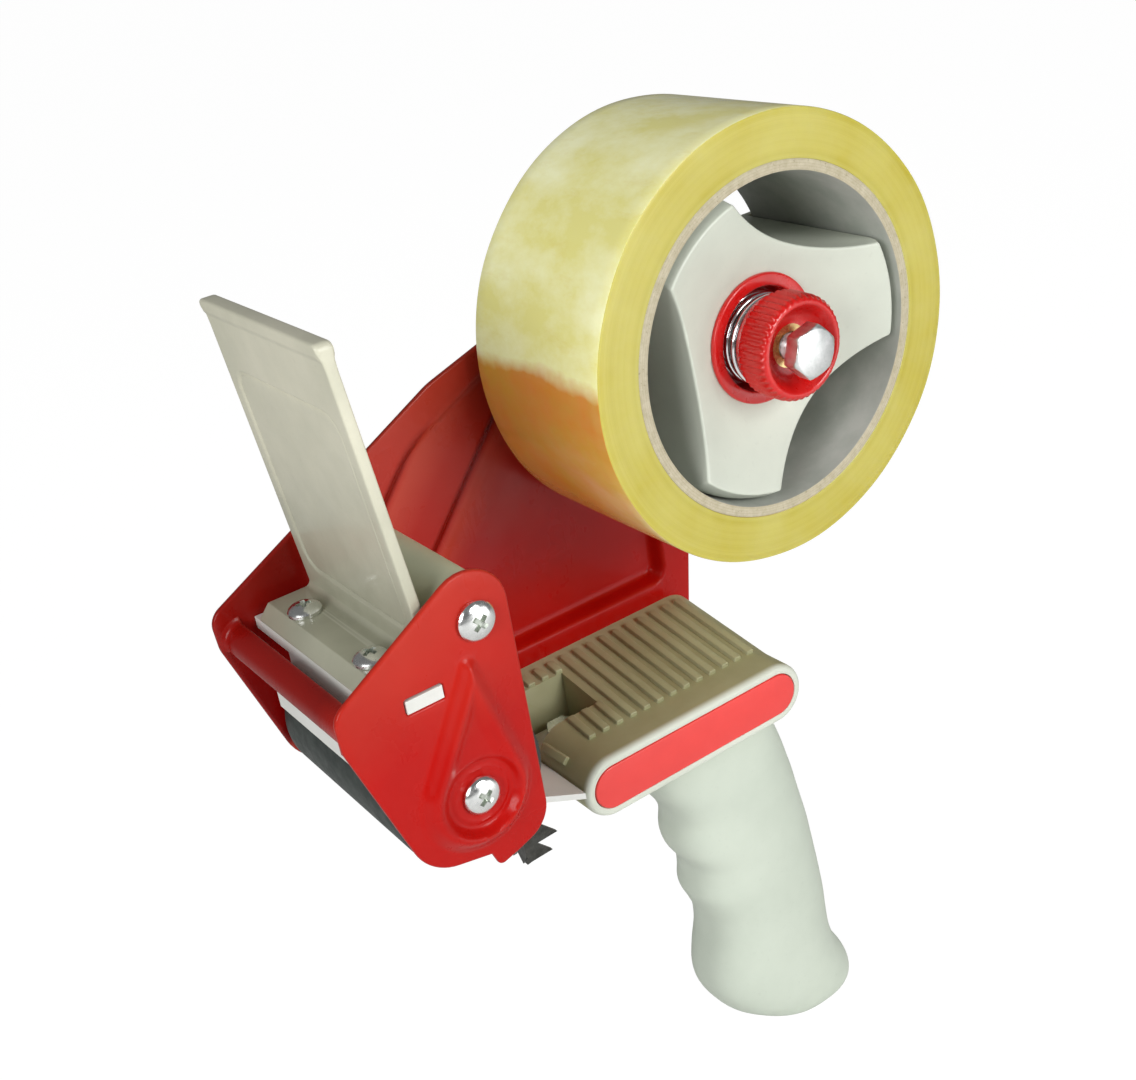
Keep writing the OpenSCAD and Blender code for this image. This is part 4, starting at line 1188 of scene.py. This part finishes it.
def knob():
    """Knurled wheel with a dished front."""
    y0, y1, r = knob_low.y, knob_high.y, knob_high.x
    teeth, samples = 44, 8
    dish_r, dish_y, insert_r = 9.9, -55.5, 5.02

    def ring(radius, y, knurl):
        loop = []
        for i in range(teeth * samples):
            a = TAU * i / (teeth * samples)
            t = (i % samples) / samples
            cut = knurl * abs(math.cos(math.pi * t)) ** 1.6
            loop.append(((radius - cut) * math.cos(a), y, (radius - cut) * math.sin(a)))
        return loop

    shell = Shell()
    levels = [(insert_r, y1, 0), (r - 1.6, y1, 0), (r - 0.9, y1 - 0.15, 0.1), (r - 0.3, y1 - 0.6, 0.45),
              (r, y1 - 1.2, 0.75), (r, y0 + 2.2, 0.75), (r - 0.1, y0 + 1.4, 0.6), (r - 0.45, y0 + 0.7, 0.3),
              (r - 1.0, y0 + 0.2, 0.05), (r - 1.6, y0, 0), (dish_r + 0.3, y0 + 0.05, 0), (dish_r - 0.1, y0 + 0.4, 0),
              (dish_r - 1.2, y0 + 2.6, 0), (dish_r - 2.6, dish_y - 0.5, 0), (dish_r - 3.6, dish_y, 0),
              (insert_r, dish_y, 0)]
    shell.skin([ring(*level) for level in levels], closed=True)
    make("knob_moulding", shell, "knob", KNOB, ["knob"], 45)


def hub_bolt():
    flats, r, pitch = 11.1, 3.175, 1.27
    head = bolt_low.y
    neck = head + 4.0
    n = 72
    turn = math.radians(14)

    def hexagon(a):
        half = math.pi / 6
        return flats / 2 / math.cos(((a - turn) % (2 * half)) - half)

    shell = Shell()
    loops = []
    for w in (0.0, 0.12, 0.3, 0.5, 0.75, 1.1, 3.9):
        limit = flats / 2 * 0.95 + 1.75 * w
        loops.append([(min(hexagon(TAU * i / n), limit) * math.cos(TAU * i / n), head + w,
                       min(hexagon(TAU * i / n), limit) * math.sin(TAU * i / n)) for i in range(n)])
    loops.append([(x * 0.97, neck, z * 0.97) for x, _, z in loops[-1]])
    for y in np.arange(neck + 0.001, bolt_high.y, 0.106):
        threaded = y < -50 or y > 1
        loop = []
        for i in range(n):
            a = TAU * i / n
            wave = abs(((y / pitch - a / TAU) % 1) * 2 - 1)
            rr = r - (0.62 * wave if threaded else 0.1)
            loop.append((rr * math.cos(a), y, rr * math.sin(a)))
        loops.append(loop)
    ids = shell.skin(loops)
    shell.faces += [tuple(ids[0]), tuple(reversed(ids[-1]))]
    make("centre_bolt", shell, "frame", BOLT, ["hub_bolt"], 30)


# ---------------------------------------------------------------- roll of tape

def roll():
    y0, y1, r = tape_low.y, tape_high.y, tape_high.x
    inner = core_high.x
    random.seed(7)
    steps = 160
    phase = [random.uniform(0, TAU) for _ in range(6)]

    def wave(a, y):
        """The wound film is never quite round."""
        return 0.10 * math.sin(3 * a + phase[0]) + 0.07 * math.sin(7 * a + phase[1] + y * 0.05) \
            + 0.04 * math.sin(13 * a + phase[2] - y * 0.08) - 0.21

    profile = [(inner + 0.05, y0), (inner + 0.6, y0 + 0.02), (r - 3, y0), (r - 0.5, y0 + 0.02), (r - 0.12, y0 + 0.16),
               (r, y0 + 0.5)]
    profile += [(r, y) for y in np.linspace(y0 + 4, y1 - 4, 10)]
    profile += [(r, y1 - 0.5), (r - 0.12, y1 - 0.16), (r - 0.5, y1 - 0.02), (r - 3, y1), (inner + 0.05, y1)]
    shell = Shell()
    loops = []
    for radius, y in profile:
        loop = []
        for i in range(steps):
            a = TAU * i / steps
            rr = radius + (wave(a, y) if radius > r - 1 else 0)
            loop.append((rr * math.cos(a), y, rr * math.sin(a)))
        loops.append(loop)
    shell.skin(loops, closed=True)
    make("wound_tape", shell, "roll", [TAPE_SIDE, TAPE_FACE], ["tape_roll"], 40,
         lambda c, n: 1 if abs(n.y) > 0.7 else 0)
    bore = core_high.x - 2.5
    profile = rounded([(bore, y0, 0.25), (inner, y0, 0.2), (inner, y1, 0.2), (bore, y1, 0.25)], 3)
    make("core_tube", lathe(profile, steps=128), "roll", [BOARD, LINING], ["tape_core"], 40,
         lambda c, n: 1 if abs(n.y) < 0.3 and math.hypot(c.x, c.z) < bore + 0.3 else 0)


# ---------------------------------------------------------------- CAD parts that keep their shape

def dress(node, material, bevel=0.0, segments=2):
    """Gives a CAD node its material, and rounds its edges with modifiers."""
    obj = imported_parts[node]
    obj.data.materials.clear()
    obj.data.materials.append(material)
    weld = obj.modifiers.new("weld", "WELD")
    weld.merge_threshold = 1e-6
    if bevel:
        flat = obj.modifiers.new("flat", "DECIMATE")
        flat.decimate_type = "DISSOLVE"
        flat.angle_limit = math.radians(1)
        edge = obj.modifiers.new("edge", "BEVEL")
        edge.width = bevel * MM
        edge.segments = segments
        edge.limit_method = "ANGLE"
        edge.angle_limit = math.radians(35)
        edge.harden_normals = False


def cad_parts():
    dress("guide_plate", COAT, 0.3)
    dress("guide_axle", STEEL)
    dress("roller_tube", TUBE)
    dress("roller_plugs", PLUG)
    dress("roller_axle", STEEL)
    dress("blade", BLADE, 0.08)
    dress("blade_bracket", COAT, 0.25)
    dress("blade_rivets", ZINC, 0.15)
    dress("bracket_bolt", ZINC, 0.25)
    dress("bracket_nut", ZINC, 0.3)
    dress("grip_screws", ZINC)
    dress("hub_bush", BRASS)
    dress("friction_washer", FIBRE)
    dress("back_washer", ZINC, 0.15)
    dress("lock_nut", ZINC, 0.4)
    dress("thrust_washer", ZINC)
    dress("knob_insert", BRASS)


# ---------------------------------------------------------------- studio

def plane(name, corners, material):
    mesh = bpy.data.meshes.new(name)
    mesh.from_pydata(corners, [], [(0, 1, 2, 3)])
    mesh.materials.append(material)
    obj = bpy.data.objects.new(name, mesh)
    bpy.context.scene.collection.objects.link(obj)
    return obj


def area_light(name, place, target, size, power, color=(1, 1, 1)):
    data = bpy.data.lights.new(name, "AREA")
    data.shape = "RECTANGLE"
    data.size, data.size_y = size
    data.energy = power
    data.color = color
    obj = bpy.data.objects.new(name, data)
    obj.location = place
    obj.rotation_euler = (Vector(place) - Vector(target)).to_track_quat("Z", "Y").to_euler()
    bpy.context.scene.collection.objects.link(obj)
    return obj


def studio():
    floor_z = grip_low.z * MM - 0.0005
    reach = 6
    plane("floor", [(-reach, -reach, floor_z), (reach, -reach, floor_z), (reach, reach, floor_z),
                    (-reach, reach, floor_z)], FLOOR)
    world = bpy.data.worlds.new("studio")
    bpy.context.scene.world = world
    world.use_nodes = True
    background = world.node_tree.nodes["Background"]
    background.inputs["Color"].default_value = (1, 1, 1, 1)
    seen = world.node_tree.nodes.new("ShaderNodeLightPath").outputs["Is Camera Ray"]
    strength = world.node_tree.nodes.new("ShaderNodeMapRange")
    strength.inputs["To Min"].default_value = 0.17
    strength.inputs["To Max"].default_value = 1.0
    world.node_tree.links.new(seen, strength.inputs["Value"])
    world.node_tree.links.new(strength.outputs["Result"], background.inputs["Strength"])
    middle = (-0.04, -0.03, -0.06)
    area_light("key", (0.15, -0.92, 0.34), middle, (0.40, 0.40), 5.2)
    area_light("fill", (-0.90, -0.42, 0.34), middle, (0.5, 0.5), 6.0)
    area_light("low", (0.22, -0.55, -0.12), middle, (0.5, 0.4), 0.9)
    scene = bpy.context.scene
    scene.view_settings.view_transform = "Standard"
    scene.view_settings.look = "None"


def camera():
    """The photographer's place, looking down on the ear side with the tool tipped a little."""
    azimuth, elevation, roll = math.radians(-31.2), math.radians(25.98), math.radians(-9.62)
    back = Vector((math.sin(azimuth) * math.cos(elevation), -math.cos(azimuth) * math.cos(elevation),
                   math.sin(elevation)))
    right = Vector((math.cos(azimuth), math.sin(azimuth), 0))
    up = back.cross(right)
    right, up = (math.cos(roll) * right + math.sin(roll) * up, math.cos(roll) * up - math.sin(roll) * right)
    matrix = Matrix((right, up, back)).transposed().to_4x4()
    matrix.translation = Vector((-213.17, -299.1, 116.91)) * MM
    data = bpy.data.cameras.new("camera")
    data.sensor_width = 36
    data.lens = 47.876
    data.clip_start = 0.01
    obj = bpy.data.objects.new("camera", data)
    obj.matrix_world = matrix
    bpy.context.scene.collection.objects.link(obj)
    bpy.context.scene.camera = obj


main_frame()
wiper()
all_screws()
rollers()
handle_block()
grip()
hub()
brake_cup()
spring()
knob()
hub_bolt()
roll()
cad_parts()
studio()
camera()
